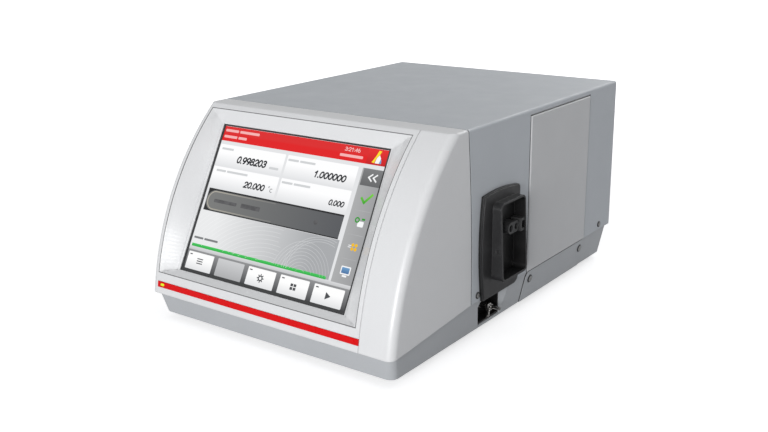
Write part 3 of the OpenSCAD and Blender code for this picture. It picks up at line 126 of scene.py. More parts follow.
class Shader:
    """Small helper that writes one node material."""

    def __init__(self, name):
        self.mat = bpy.data.materials.new(name)
        self.mat.use_nodes = True
        self.tree = self.mat.node_tree
        self.bsdf = self.tree.nodes["Principled BSDF"]
        self.coord = self.tree.nodes.new("ShaderNodeTexCoord")

    def link(self, out, into):
        self.tree.links.new(out, into)

    def noise(self, scale, detail=3.0, rough=0.55, stretch=None):
        tex = self.tree.nodes.new("ShaderNodeTexNoise")
        tex.inputs["Scale"].default_value = scale
        tex.inputs["Detail"].default_value = detail
        tex.inputs["Roughness"].default_value = rough
        source = self.coord.outputs["Object"]
        if stretch:
            mapping = self.tree.nodes.new("ShaderNodeMapping")
            mapping.inputs["Scale"].default_value = stretch
            self.link(source, mapping.inputs["Vector"])
            source = mapping.outputs["Vector"]
        self.link(source, tex.inputs["Vector"])
        return tex.outputs["Fac"]

    def ramp(self, value, stops):
        """Colour ramp between two stops."""
        made = self.tree.nodes.new("ShaderNodeValToRGB")
        for element, (position, colour) in zip(made.color_ramp.elements, stops):
            element.position = position
            element.color = (*colour, 1.0)
        self.link(value, made.inputs["Fac"])
        return made.outputs["Color"]

    def span(self, value, low, high, from_low=0.3, from_high=0.7):
        made = self.tree.nodes.new("ShaderNodeMapRange")
        made.inputs["From Min"].default_value = from_low
        made.inputs["From Max"].default_value = from_high
        made.inputs["To Min"].default_value = low
        made.inputs["To Max"].default_value = high
        self.link(value, made.inputs["Value"])
        return made.outputs["Result"]

    def mix(self, fac, a, b):
        made = self.tree.nodes.new("ShaderNodeMix")
        made.data_type = "RGBA"
        for socket, value in ((made.inputs["Factor"], fac), (made.inputs[6], a), (made.inputs[7], b)):
            if isinstance(value, (int, float)):
                socket.default_value = value
            elif isinstance(value, tuple):
                socket.default_value = (*value, 1.0)
            else:
                self.link(value, socket)
        return made.outputs[2]

    def mix_normals(self, fac, a, b):
        made = self.tree.nodes.new("ShaderNodeMix")
        made.data_type = "VECTOR"
        for socket, value in ((made.inputs["Factor"], fac), (made.inputs[4], a), (made.inputs[5], b)):
            self.link(value, socket)
        return made.outputs[1]

    def bump(self, height, strength, distance, normal=None):
        made = self.tree.nodes.new("ShaderNodeBump")
        made.inputs["Strength"].default_value = strength
        made.inputs["Distance"].default_value = distance
        self.link(height, made.inputs["Height"])
        if normal is not None:
            self.link(normal, made.inputs["Normal"])
        return made.outputs["Normal"]

    def bevel(self, radius):
        made = self.tree.nodes.new("ShaderNodeBevel")
        made.samples = 4
        made.inputs["Radius"].default_value = radius
        return made.outputs["Normal"]

    def edge_mask(self, bevel_normal):
        """1 on a rounded edge, 0 on a flat."""
        geometry = self.tree.nodes.new("ShaderNodeNewGeometry")
        dot = self.tree.nodes.new("ShaderNodeVectorMath")
        dot.operation = "DOT_PRODUCT"
        self.link(bevel_normal, dot.inputs[0])
        self.link(geometry.outputs["Normal"], dot.inputs[1])
        return self.span(dot.outputs["Value"], 0.0, 1.0, 0.995, 0.9)

    def set(self, **values):
        for key, value in values.items():
            self.bsdf.inputs[key.replace("_", " ")].default_value = value

    def calc(self, operation, a, b=0.0):
        """One step of arithmetic on numbers or sockets."""
        made = self.tree.nodes.new("ShaderNodeMath")
        made.operation = operation
        for socket, value in zip(made.inputs, (a, b)):
            if isinstance(value, (int, float)):
                socket.default_value = value
            else:
                self.link(value, socket)
        return made.outputs[0]

    def both(self, *masks):
        total = masks[0]
        for mask in masks[1:]:
            total = self.calc("MULTIPLY", total, mask)
        return total

    def under(self, value, limit):
        return self.calc("LESS_THAN", value, limit)

    def over(self, value, limit):
        return self.calc("GREATER_THAN", value, limit)

    def off(self, value, middle):
        """Distance of a value from a middle, either way."""
        return self.calc("ABSOLUTE", self.calc("SUBTRACT", value, middle))

    def line(self, value, slope, at, level):
        """A straight line that has the level where the value is at, and rises by the slope."""
        return self.calc("ADD", self.calc("MULTIPLY", value, slope), level - slope * at)

    def place(self):
        """The point in the part's own millimetres."""
        split = self.tree.nodes.new("ShaderNodeSeparateXYZ")
        self.link(self.coord.outputs["Object"], split.inputs["Vector"])
        x, y, z = (self.calc("MULTIPLY", out, 1.0 / MM) for out in split.outputs)
        return self.calc("ADD", x, MID_X), self.calc("ADD", y, MID_Y), z


def skin_depth(s, x, z):
    """Height of a point over the outer skin of the housing's top and sides, below 0 inside."""
    a = s.calc("MAXIMUM", s.calc("SUBTRACT", s.calc("ABSOLUTE", x), HALF_WIDTH - EDGE_R), 0.0)
    b = s.calc("MAXIMUM", s.calc("SUBTRACT", z, HEIGHT - EDGE_R), 0.0)
    squares = s.calc("ADD", s.calc("MULTIPLY", a, a), s.calc("MULTIPLY", b, b))
    return s.calc("SUBTRACT", s.calc("SQRT", squares), EDGE_R)


def past_recess(s, x, y, z):
    """How far a point lies past the recess' outline, across and up the slope, below 0 inside."""
    level = s.calc("MULTIPLY", y, math.cos(SLOPE))
    rise = s.calc("MULTIPLY", s.calc("SUBTRACT", z, SCREEN_FOOT[1]), math.sin(SLOPE))
    up = s.calc("ADD", level, rise)
    aside = s.calc("SUBTRACT", s.off(x, SCREEN_MID), RECESS_HALF)
    along = s.calc("SUBTRACT", s.off(up, RECESS_UP), RECESS_HIGH)
    return aside, along


def cover_gaps(s):
    """Cut edges of the sheet, which lie in the gaps, painted dark as the shade there."""
    x, _, z = s.place()
    return s.under(skin_depth(s, x, z), COVER_EDGE)


def bezel_gaps(s):
    """Painted shade: the lip in the seam, and a fine dark line along the crease of the recess' outline."""
    x, y, z = s.place()
    lip = s.both(s.under(skin_depth(s, x, z), LIP_EDGE), s.over(y, LIP_FRONT))
    aside, along = past_recess(s, x, y, z)
    edge = s.calc("ABSOLUTE", s.calc("MAXIMUM", aside, along))
    crease_shade = s.both(s.under(edge, CREASE_SHADE_HALF), s.under(y, CREASE_SHADE_REAR), CREASE_SHADE_DARK)
    return s.calc("MAXIMUM", lip, crease_shade)


def recess_walls(s):
    """Inside of the recess, where the bent walls are shaded as one soft surface."""
    x, y, z = s.place()
    aside, along = past_recess(s, x, y, z)
    past_window = s.calc("SUBTRACT", s.off(x, SCREEN_MID), WINDOW_HALF)
    return s.both(s.under(s.calc("MAXIMUM", aside, along), -WALL_INSET), s.over(past_window, WALL_INSET))


def door_gaps(s):
    """All of the door but its outer face, painted dark as the shade in its gap."""
    x, _, _ = s.place()
    return s.under(x, DOOR_SKIN)


def flap_gaps(s):
    """The gap round the flap in the tray's right side, painted dark as its shade."""
    x, y, z = s.place()
    outward = s.calc("SUBTRACT", x, s.line(z, TRAY_SLANT, TRAY_TOP_Z, TRAY_TOP_X))
    steep = s.line(z, FLAP_LOW_SLANT, FLAP_BEND_Z, FLAP_FRONT)
    bent = s.line(z, FLAP_HIGH_SLANT, FLAP_BEND_Z, FLAP_FRONT)
    behind = s.over(y, s.calc("MAXIMUM", steep, bent))
    wall = s.both(s.under(outward, FLAP_SKIN), s.over(outward, FLAP_DEEP), s.over(x, 0.0))
    return s.both(wall, behind, s.under(y, FLAP_REAR))


def hood_painted_shade(s):
    """Painted shade: darker black inside the hood and on the rim's edge."""
    x, y, z = s.place()
    aside = s.under(s.off(y, HOOD_MID[0]), HOOD_HALF[0])
    high = s.under(s.off(z, HOOD_MID[1]), HOOD_HALF[1])
    return s.calc("MAXIMUM", s.both(aside, high, HOOD_DARK), s.both(s.under(x, RIM_FACE), RIM_DARK))


def paint(name, colour, rough, grain, depth, bevel, speckle, coat=0.0, gaps=None, soft=None):
    """Lacquer or powder coat: fine grain, faint clouds, a painted highlight that makes the edges a little
    lighter, and painted shade in the gaps.
    """
    s = Shader(name)
    clouds = s.noise(14.0, 3.0)
    fleck = s.noise(grain * 1.7, 2.0)
    base = s.ramp(clouds, [(0.3, shade(colour, 1 - speckle)), (0.7, shade(colour, 1 + speckle))])
    dots = s.ramp(fleck, [(0.35, shade(colour, 1 - 2.2 * speckle)), (0.62, shade(colour, 1 + 1.5 * speckle))])
    mixed = s.mix(0.5, base, dots)
    rounded = s.bevel(bevel)
    edge = s.edge_mask(rounded)
    if soft:
        walls = soft(s)
        edge = s.both(edge, s.calc("SUBTRACT", 1.0, walls))
        rounded = s.mix_normals(walls, rounded, s.bevel(WALL_RADIUS * MM))
    # Painted highlight on the edges, then painted shade in the gaps
    painted_light_and_shade = s.mix(edge, mixed, shade(colour, 1.12))
    if gaps:
        painted_light_and_shade = s.mix(gaps(s), painted_light_and_shade, GAP_SHADE)
    s.link(painted_light_and_shade, s.bsdf.inputs["Base Color"])
    s.link(s.span(s.noise(40.0, 4.0), rough - 0.05, rough + 0.07), s.bsdf.inputs["Roughness"])
    s.link(s.bump(s.noise(grain, 2.0), depth, 0.0002, rounded), s.bsdf.inputs["Normal"])
    s.set(Coat_Weight=coat, Coat_Roughness=0.12)
    return s.mat


def powder(name, colour, speckle, gaps):
    """Powder coat of the sheet and the tray."""
    return paint(name, colour, 0.46, 1500.0, 0.35, 0.0010, speckle, gaps=gaps)


def plastic(name, colour, rough, grain=1400.0, depth=0.25, bevel=0.0004, speckle=0.08, sheen=0.5, painted_shade=None):
    s = Shader(name)
    s.set(Specular_IOR_Level=sheen)
    base = s.ramp(s.noise(30.0, 4.0), [(0.3, shade(colour, 1 - speckle)), (0.7, shade(colour, 1 + speckle))])
    rounded = s.bevel(bevel)
    # Painted highlight on the edges, and painted shade where a mask is given
    painted_light_and_shade = s.mix(s.edge_mask(rounded), base, tuple(min(1.0, c * 1.3 + 0.008) for c in colour))
    if painted_shade:
        painted_light_and_shade = s.mix(painted_shade(s), painted_light_and_shade, shade(colour, 0.12))
    s.link(painted_light_and_shade, s.bsdf.inputs["Base Color"])
    s.link(s.span(s.noise(60.0, 4.0), rough - 0.07, rough + 0.09), s.bsdf.inputs["Roughness"])
    s.link(s.bump(s.noise(grain, 2.0), depth, 0.00015, rounded), s.bsdf.inputs["Normal"])
    return s.mat


def metal(name, colour, rough, stretch=(1.0, 1.0, 1.0), grain=300.0, depth=0.15):
    s = Shader(name)
    streak = s.noise(grain, 4.0, 0.6, stretch)
    base = s.ramp(streak, [(0.3, shade(colour, 0.88)), (0.7, shade(colour, 1.06))])
    s.link(base, s.bsdf.inputs["Base Color"])
    patches = s.noise(grain * 0.5, 3.0, 0.6, stretch)
    s.link(s.span(patches, rough - 0.08, rough + 0.12), s.bsdf.inputs["Roughness"])
    s.link(s.bump(streak, depth, 0.0001, s.bevel(0.0003)), s.bsdf.inputs["Normal"])
    s.set(Metallic=1.0)
    return s.mat


def zinc(name):
    """Plated sheet with its faint crystalline patches."""
    s = Shader(name)
    cells = s.tree.nodes.new("ShaderNodeTexVoronoi")
    cells.inputs["Scale"].default_value = 110.0
    s.link(s.coord.outputs["Object"], cells.inputs["Vector"])
    tone = s.tree.nodes.new("ShaderNodeSeparateColor")
    s.link(cells.outputs["Color"], tone.inputs["Color"])
    greys = s.ramp(tone.outputs["Red"], [(0.0, (0.50, 0.51, 0.52)), (1.0, (0.66, 0.67, 0.67))])
    s.link(greys, s.bsdf.inputs["Base Color"])
    s.link(s.span(tone.outputs["Green"], 0.32, 0.5, 0.0, 1.0), s.bsdf.inputs["Roughness"])
    s.link(s.bump(s.noise(500.0), 0.1, 0.0001), s.bsdf.inputs["Normal"])
    s.set(Metallic=1.0)
    return s.mat


def board(name):
    """Solder mask with copper tracks under it."""
    s = Shader(name)
    bricks = s.tree.nodes.new("ShaderNodeTexBrick")
    bricks.inputs["Scale"].default_value = 90.0
    bricks.inputs["Mortar Size"].default_value = 0.03
    bricks.inputs["Color1"].default_value = (0.012, 0.13, 0.05, 1)
    bricks.inputs["Color2"].default_value = (0.016, 0.16, 0.06, 1)
    bricks.inputs["Mortar"].default_value = (0.05, 0.26, 0.10, 1)
    s.link(s.coord.outputs["Object"], bricks.inputs["Vector"])
    s.link(bricks.outputs["Color"], s.bsdf.inputs["Base Color"])
    s.link(s.span(s.noise(80.0), 0.28, 0.42), s.bsdf.inputs["Roughness"])
    s.link(s.bump(bricks.outputs["Fac"], 0.2, 0.0001), s.bsdf.inputs["Normal"])
    return s.mat


def clear(name, colour):
    """Glass of the measuring tube."""
    s = Shader(name)
    s.link(s.ramp(s.noise(25.0), [(0.3, shade(colour, 0.97)), (0.7, colour)]), s.bsdf.inputs["Base Color"])
    s.link(s.span(s.noise(90.0), 0.03, 0.07), s.bsdf.inputs["Roughness"])
    s.set(Transmission_Weight=1.0, IOR=1.47)
    return s.mat


def lit_lens(name, colour):
    """Status lens with a faint light of its own."""
    s = Shader(name)
    tone = s.ramp(s.noise(300.0), [(0.3, shade(colour, 0.85)), (0.7, colour)])
    s.link(tone, s.bsdf.inputs["Base Color"])
    s.link(tone, s.bsdf.inputs["Emission Color"])
    s.link(s.span(s.noise(500.0), 0.2, 0.34), s.bsdf.inputs["Roughness"])
    s.set(Emission_Strength=0.45)
    return s.mat


MATERIALS = {
    "bezel_paint": paint("bezel_paint", BEZEL, 0.36, 900.0, 0.16, 0.0012, 0.014,
                         coat=0.12, gaps=bezel_gaps, soft=recess_walls),
    "cover_paint": powder("cover_paint", COVER, 0.035, cover_gaps),
    "door_paint": powder("door_paint", DOOR, 0.03, door_gaps),
    "base_paint": powder("base_paint", BASE, 0.035, flap_gaps),
    "adapter_black": plastic("adapter_black", (0.016, 0.016, 0.017), 0.4, 1200.0, 0.2, 0.0008,
                             painted_shade=hood_painted_shade),
    "nose_black": plastic("nose_black", (0.030, 0.030, 0.031), 0.5, 1600.0, 0.35, 0.0005),
    "screen_glass": plastic("screen_glass", (0.014, 0.016, 0.02), 0.14, 200.0, 0.01, 0.0002),
    "display_black": plastic("display_black", (0.02, 0.021, 0.022), 0.5),
    "strip_red": plastic("strip_red", srgb(206, 4, 8), 0.3, 900.0, 0.08, 0.0003, 0.02, sheen=0.25),
    "lens_green": lit_lens("lens_green", srgb(196, 214, 30)),
    "zinc_sheet": zinc("zinc_sheet"),
    "screw_steel": metal("screw_steel", (0.44, 0.44, 0.43), 0.34, grain=700.0),
    "washer_black": plastic("washer_black", (0.025, 0.025, 0.026), 0.45),
    "aluminium": metal("aluminium", (0.74, 0.75, 0.76), 0.34, (1.0, 14.0, 14.0), 160.0),
    "nickel": metal("nickel", (0.42, 0.41, 0.40), 0.24, grain=500.0, depth=0.05),
    "cell_glass": clear("cell_glass", (0.93, 0.97, 0.97)),
    "ceramic": plastic("ceramic", (0.80, 0.79, 0.75), 0.3, 700.0, 0.1),
    "ptfe": plastic("ptfe", (0.80, 0.80, 0.77), 0.5, 700.0, 0.1),
    "board_green": board("board_green"),
    "brass": metal("brass", (0.70, 0.52, 0.22), 0.3, grain=500.0),
    "contact_gold": metal("contact_gold", (0.78, 0.60, 0.26), 0.22, (1.0, 1.0, 8.0), 500.0),
    "rubber_black": plastic("rubber_black", (0.018, 0.018, 0.018), 0.72, 1200.0, 0.4),
    "hose_clear": plastic("hose_clear", (0.72, 0.69, 0.60), 0.35, 500.0, 0.1),
    "pump_grey": plastic("pump_grey", (0.07, 0.075, 0.08), 0.45),
    "inlet_black": plastic("inlet_black", (0.02, 0.02, 0.021), 0.42, 1300.0, 0.3, 0.0004),
    "fan_black": plastic("fan_black", (0.022, 0.022, 0.022), 0.5),
    "guard_wire": metal("guard_wire", (0.68, 0.68, 0.68), 0.22, grain=600.0, depth=0.05),
    "port_shell": metal("port_shell", (0.64, 0.64, 0.62), 0.28, (6.0, 1.0, 6.0), 500.0),
}

for part in frame["record"]["subparts"]:
    mesh = nodes[part["node"]].data
    mesh.materials.clear()
    mesh.materials.append(MATERIALS[part["material_slot"]])


# ---- Display picture behind the glass: U across from the screen's middle, V up the slope, in mm ----

def on_slope(u, v, lift):
    """Point of the frame at a place on the slope, lift mm over the glass."""
    d = GLASS + lift
    x = SCREEN_MID + u - MID_X
    y = SCREEN_FOOT[0] + v * math.cos(SLOPE) - d * math.sin(SLOPE) - MID_Y
    z = SCREEN_FOOT[1] + v * math.sin(SLOPE) + d * math.cos(SLOPE)
    return Vector((x, y, z)) * MM


def glow(name, colour, top, axis=None, low=0.0, high=1.0):
    """A lit patch of the display: a gradient along an axis, or faint clouds where there is none."""
    s = Shader(name)
    s.set(Base_Color=(0.01, 0.01, 0.01, 1), Emission_Strength=1.0, IOR=1.5, Specular_IOR_Level=0.16)
    if axis is None:
        shades = s.ramp(s.noise(160.0, 2.0), [(0.35, colour), (0.65, top)])
    else:
        split = s.tree.nodes.new("ShaderNodeSeparateXYZ")
        s.link(s.coord.outputs["Object"], split.inputs["Vector"])
        shades = s.ramp(s.span(split.outputs[axis], 0.0, 1.0, low, high), [(0.0, colour), (1.0, top)])
    s.link(shades, s.bsdf.inputs["Emission Color"])
    s.link(s.span(s.noise(400.0), 0.10, 0.18), s.bsdf.inputs["Roughness"])
    return s.mat


def flat(name, colour):
    return glow(name, colour, colour)


def ramp_up(name, low_colour, high_colour, v0, v1):
    """Gradient up the slope."""
    return glow(name, low_colour, high_colour, 2, on_slope(0.0, v0, 0.0).z, on_slope(0.0, v1, 0.0).z)


def ramp_across(name, left_colour, right_colour, u0, u1):
    return glow(name, left_colour, right_colour, 0, on_slope(u0, 0.0, 0.0).x, on_slope(u1, 0.0, 0.0).x)


def around(cx, cy, r, degrees):
    """Point on a circle."""
    t = math.radians(degrees)
    return cx + r * math.cos(t), cy + r * math.sin(t)


def bow(cx, cy, rx, ry, start, turn, n=14):
    """Points along part of an ellipse."""
    angles = [math.radians(start + turn * i / n) for i in range(n + 1)]
    return [(cx + rx * math.cos(t), cy + ry * math.sin(t)) for t in angles]


# Pen paths of the signs that the numbers need, each in a square of 1 by 1
DIGIT_PATHS = {
    "0": [bow(0.5, 0.5, 0.5, 0.5, 90, 360, 24)],
    "1": [[(0.12, 0.74), (0.56, 1.0), (0.56, 0.0)]],
    "2": [bow(0.5, 0.7, 0.47, 0.3, 165, -195) + [(0.02, 0.0), (1.0, 0.0)]],
    "3": [bow(0.46, 0.76, 0.44, 0.24, 150, -240), bow(0.46, 0.27, 0.5, 0.27, 90, -250)],
    "4": [[(0.78, 0.0), (0.78, 1.0), (0.0, 0.3), (1.0, 0.3)]],
    "6": [bow(0.5, 0.31, 0.48, 0.31, 90, 360, 20), bow(0.62, 0.38, 0.6, 0.62, 100, 80)],
    "8": [bow(0.5, 0.76, 0.4, 0.24, 0, 360, 20), bow(0.5, 0.27, 0.5, 0.27, 0, 360, 20)],
    "9": [bow(0.5, 0.69, 0.48, 0.31, 0, 360, 20), bow(0.38, 0.62, 0.6, 0.62, 0, -80)],
    ".": [[(0.4, 0.0), (0.6, 0.0)]],
    ":": [[(0.4, 0.1), (0.6, 0.1)], [(0.4, 0.66), (0.6, 0.66)]],
}

layers = []


class Layer:
    """Flat shapes of one material at one height over the glass, gathered in a mesh."""

    def __init__(self, name, lift, material):
        self.name, self.lift, self.material = name, lift, material
        self.points, self.faces = [], []
        layers.append(self)

    def poly(self, outline):
        start = len(self.points)
        self.points += [on_slope(u, v, self.lift) for u, v in outline]
        self.faces.append(list(range(start, start + len(outline))))

    def rect(self, x0, y0, x1, y1, r=0.0):
        if r <= 0:
            self.poly([(x0, y0), (x1, y0), (x1, y1), (x0, y1)])
            return
        corners = ((x1 - r, y0 + r, -90), (x1 - r, y1 - r, 0), (x0 + r, y1 - r, 90), (x0 + r, y0 + r, 180))
        self.poly([around(cx, cy, r, a + 15 * i) for cx, cy, a in corners for i in range(7)])

    def stroke(self, path, width):
        """A line of even width through the points, as one quad for each stretch, longer by half a width."""
        for (ax, ay), (bx, by) in zip(path, path[1:]):
            dx, dy = bx - ax, by - ay
            n = math.hypot(dx, dy) or 1.0
            ex, ey = dx / n * width / 2, dy / n * width / 2
            self.poly([(ax - ex + ey, ay - ey - ex), (bx + ex + ey, by + ey - ex),
                       (bx + ex - ey, by + ey + ex), (ax - ex - ey, ay - ey + ex)])

    def disc(self, cx, cy, r, n=28, start=0.0, turn=360.0):
        count = n if turn >= 360 else n + 1
        self.poly([around(cx, cy, r, start + turn * i / n) for i in range(count)])

    def ring(self, cx, cy, r0, r1, start=0.0, turn=360.0, n=36):
        for i in range(n):
            a, b = (start + turn * k / n for k in (i, i + 1))
            self.poly([around(cx, cy, r, t) for r, t in ((r0, a), (r1, a), (r1, b), (r0, b))])

    def arcs(self, cx, cy, radii, squeeze, u0, u1, width):
        """Even rings round a centre, kept where they lie in the zone."""
        for r in radii:
            n = int(24 + r)
            turns = [2 * math.pi * k / n for k in range(n + 1)]
            ring = [(cx + r * squeeze * math.cos(t), cy + r * math.sin(t)) for t in turns]
            for a, b in zip(ring, ring[1:]):
                if all(u0 < u < u1 and RINGS_LOW < v < RINGS_TOP for u, v in (a, b)):
                    self.stroke([a, b], width)

    def digits(self, words, x0, x1, y_foot, height, weight=0.2, slant=0.18):
        """Numbers between two places, drawn with a broad pen on a grid of one digit."""
        widths = [0.34 if c in ".:" else 1.0 for c in words]
        step = (x1 - x0) / sum(widths)
        at = x0
        for c, wide in zip(words, widths):
            for path in DIGIT_PATHS[c]:
                self.stroke([(at + (px * 0.74 + 0.13) * step * wide + slant * (py - 0.5) * height,
                              y_foot + (weight / 2 + py * (1 - weight)) * height) for px, py in path],
                            weight * height)
            at += step * wide

    def bars(self, x, y, lengths, height):
        """Plain bars in the place of small words."""
        for length in lengths:
            self.rect(x, y, x + length, y + height, height * 0.3)
            x += length + height * 0.7

    def build(self):
        mesh = bpy.data.meshes.new(self.name)
        mesh.from_pydata(self.points, [], self.faces)
        mesh.materials.append(self.material)
        made = bpy.data.objects.new(self.name, mesh)
        scene.collection.objects.link(made)
        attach(made, "housing")


def draw_back():
    grey = ramp_up("picture_grey", srgb(198, 199, 201), srgb(226, 227, 229), 57, 62)
    Layer("picture_back", 0.02, grey).rect(-113.0, 36.0, 113.0, 199.5)
    swirl_grey = ramp_across("swirl_grey", srgb(232, 233, 234), srgb(166, 168, 171), -85, 55)
    Layer("picture_swirl", 0.04, swirl_grey).rect(-112.6, 60.5, 84.0, 101.6)
    swirl_line = ramp_across("swirl_line", srgb(240, 241, 242), srgb(194, 196, 198), -75, 60)
    swirl = Layer("picture_swirl_lines", 0.06, swirl_line)
    swirl.arcs(46.0, 55.0, [9 + 3.6 * i for i in range(9)], 1.0, 8.0, 83.0, 0.42)
    swirl.arcs(66.0, 62.0, [34 + 2.4 * i for i in range(3)], 1.15, -10.0, 83.0, 0.5)
    swirl.arcs(0.0, 20.0, [44 + 4.4 * i for i in range(17)], 1.25, -111.0, 14.0, 0.36)


def draw_header():
    red = ramp_up("header_red", srgb(222, 6, 12), srgb(218, 30, 32), 189.5, 192.0)
    Layer("picture_header", 0.04, red).rect(-114.6, 182.5, 88.6, 199.3)
    box_red = ramp_up("header_box_red", srgb(196, 6, 12), srgb(226, 34, 34), 183, 197)
    Layer("picture_header_box", 0.06, box_red).rect(88.6, 182.5, 114.4, 199.3)


def draw_readings():
    low_white, high_white = srgb(228, 229, 231), srgb(252, 252, 253)
    boxes = Layer("picture_boxes", 0.05, ramp_up("box_white", low_white, high_white, 155, 169))
    low_boxes = Layer("picture_low_boxes", 0.05, ramp_up("low_box_white", low_white, high_white, 130, 144))
    for x0, x1 in ((-112.4, -15.4), (-12.2, 81.8)):
        boxes.rect(x0, 154.9, x1, 178.4, 0.8)
        low_boxes.rect(x0, 129.4, x1, 152.7, 0.8)

    numbers = Layer("picture_numbers", 0.1, flat("number_ink", INK))
    numbers.digits("0.998203", -81.6, -38.4, 159.6, 8.3)
    numbers.digits("1.000000", 28.3, 70.6, 159.6, 7.6)
    numbers.digits("20.000", -61.6, -31.6, 134.4, 7.4)
    numbers.digits("0.000", 57.4, 77.2, 134.2, 6.2)
    clock = Layer("picture_clock", 0.08, flat("clock_white", srgb(246, 206, 206)))
    clock.digits("3:21:46", 58.4, 78.6, 192.6, 4.2, 0.15, 0.0)

    faint = Layer("picture_faint_bars", 0.09, flat("faint_bar", srgb(206, 208, 210)))
    faint.bars(-108.6, 172.3, (17.6,), 2.4)
    faint.bars(-10.6, 172.1, (14.6, 21.0), 2.4)
    faint.bars(-107.4, 147.2, (14.4, 31.0), 2.4)
    faint.bars(-10.6, 147.2, (15.0, 22.6), 2.4)
    faint.bars(-33.6, 159.6, (13.2,), 2.6)
    light = Layer("picture_light_bars", 0.08, flat("light_bar", srgb(244, 178, 178)))
    light.bars(-111.0, 193.2, (19.6, 29.0), 2.9)
    light.bars(-111.0, 186.2, (19.6, 12.4), 2.9)
    light.bars(54.0, 186.4, (29.6,), 2.9)
    dark = Layer("picture_dark_bars", 0.09, flat("dark_bar", srgb(120, 122, 124)))
    dark.bars(-110.2, 69.2, (14.0, 20.4), 2.3)
    dark.ring(-25.6, 140.4, 0.55, 1.05)
    dark.ring(-21.6, 137.0, 1.5, 2.25, 50, 260)


def draw_tube_picture():
    """The camera's picture of the measuring tube."""
    black = glow("camera_black", srgb(24, 25, 27), srgb(34, 35, 37))
    Layer("picture_camera_frame", 0.05, black).rect(-109.6, 102.0, 81.2, 127.4)
    grey = ramp_across("camera_grey", srgb(118, 119, 118), srgb(84, 86, 90), -100, 80)
    band = Layer("picture_camera_band", 0.07, grey)
    band.rect(-98.0, 103.2, 80.8, 125.6)
    band.disc(-98.0, 114.4, 11.2, 32, 90, 180)
    light = ramp_across("tube_light", srgb(176, 171, 158), srgb(122, 122, 120), -100, -20)
    line = Layer("picture_tube_line", 0.09, light)
    line.ring(-97.0, 114.4, 9.4, 10.5, 90, 180)
    line.rect(-97.0, 123.8, -10.0, 124.9)
    line.rect(-97.0, 103.9, -10.0, 105.0)
    marks = Layer("picture_tube_marks", 0.1, glow("tube_dark", srgb(78, 78, 80), srgb(94, 94, 96)))
    marks.rect(-97.5, 112.4, -63.5, 116.2, 1.2)
    marks.rect(-57.0, 112.2, -29.4, 117.0)
    marks.disc(48.2, 114.2, 2.6)


def draw_progress():
    green = ramp_up("progress_green", srgb(30, 168, 60), srgb(66, 200, 92), 60.0, 63.6)
    Layer("picture_progress", 0.06, green).rect(-110.4, 60.2, 80.4, 63.5)


def draw_column():
    grey = ramp_across("column_grey", srgb(170, 171, 172), srgb(156, 157, 159), 88, 112)
    Layer("picture_column", 0.05, grey).rect(87.2, 60.0, 112.8, 178.2)
    dark = ramp_up("column_dark", srgb(96, 97, 99), srgb(122, 123, 125), 160, 178)
    Layer("picture_column_top", 0.07, dark).rect(88.8, 160.4, 112.8, 178.2)
    lines = Layer("picture_column_lines", 0.07, glow("column_line", srgb(176, 177, 179), srgb(168, 169, 171)))
    for v in (134.8, 109.9, 85.2):
        lines.rect(92.0, v - 0.25, 110.4, v + 0.25)


def draw_signs():
    """Plain signs in the column and at the header's end."""
    white = Layer("picture_signs_white", 0.12, flat("sign_white", WHITE))
    for x in (96.8, 102.6):
        white.stroke([(x + 4.4, 172.6), (x + 0.4, 169.3), (x + 4.4, 166.0)], 1.5)
    white.rect(99.4, 118.6, 106.8, 124.2, 1.0)
    white.stroke([(96.0, 97.2), (99.0, 97.2)], 0.7)
    white.stroke([(96.4, 99.0), (99.2, 99.0)], 0.7)
    white.rect(95.2, 69.4, 107.2, 77.8, 0.8)
    white.rect(98.6, 67.0, 104.0, 68.8)
    white.poly([(99.4, 184.4), (104.4, 184.4), (105.6, 189.8), (103.2, 193.4), (100.6, 190.0)])

    lit_green = ramp_up("sign_green", srgb(40, 150, 40), srgb(120, 210, 60), 140, 154)
    green = Layer("picture_signs_green", 0.14, lit_green)
    green.stroke([(96.0, 147.4), (100.0, 143.2)], 2.6)
    green.stroke([(100.0, 143.2), (107.6, 152.0)], 2.6)
    green.ring(98.2, 125.2, 1.5, 3.0)
    green.rect(103.4, 125.6, 107.4, 127.6)

    lit_yellow = ramp_up("sign_yellow", srgb(240, 184, 20), srgb(252, 224, 40), 90, 195)
    yellow = Layer("picture_signs_yellow", 0.14, lit_yellow)
    for i in range(4):
        yellow.disc(*around(103.4, 97.8, 2.9, 45 + 90 * i), 1.75, 20)
    yellow.poly([(95.4, 185.0), (98.6, 184.4), (100.2, 190.0), (103.2, 193.8), (104.6, 197.4), (101.2, 197.8),
                 (99.0, 191.6)])

    lit_blue = ramp_up("sign_blue", srgb(60, 100, 150), srgb(110, 160, 205), 70, 77)
    blue = Layer("picture_signs_blue", 0.15, lit_blue)
    blue.rect(96.4, 70.6, 106.0, 76.6)
    blue.poly([(104.6, 184.4), (107.2, 184.6), (106.4, 188.6), (105.4, 189.2)])


def sign_lines(layer, x):
    for k in range(3):
        layer.rect(x - 4.4, 42.2 + 2.5 * k, x + 4.4, 43.3 + 2.5 * k)


def sign_cog(layer, x):
    layer.ring(x, 44.6, 1.7, 3.1)
    for k in range(8):
        layer.stroke([around(x, 44.6, 3.2, 45 * k), around(x, 44.6, 4.1, 45 * k)], 1.2)


def sign_tiles(layer, x):
    for k in range(2):
        for m in range(2):
            layer.rect(x - 3.8 + 4.2 * m, 41.4 + 3.7 * k, x - 0.4 + 4.2 * m, 44.3 + 3.7 * k)


def sign_start(layer, x):
    layer.poly([(x - 2.8, 41.0), (x + 3.8, 44.8), (x - 2.8, 48.6)])


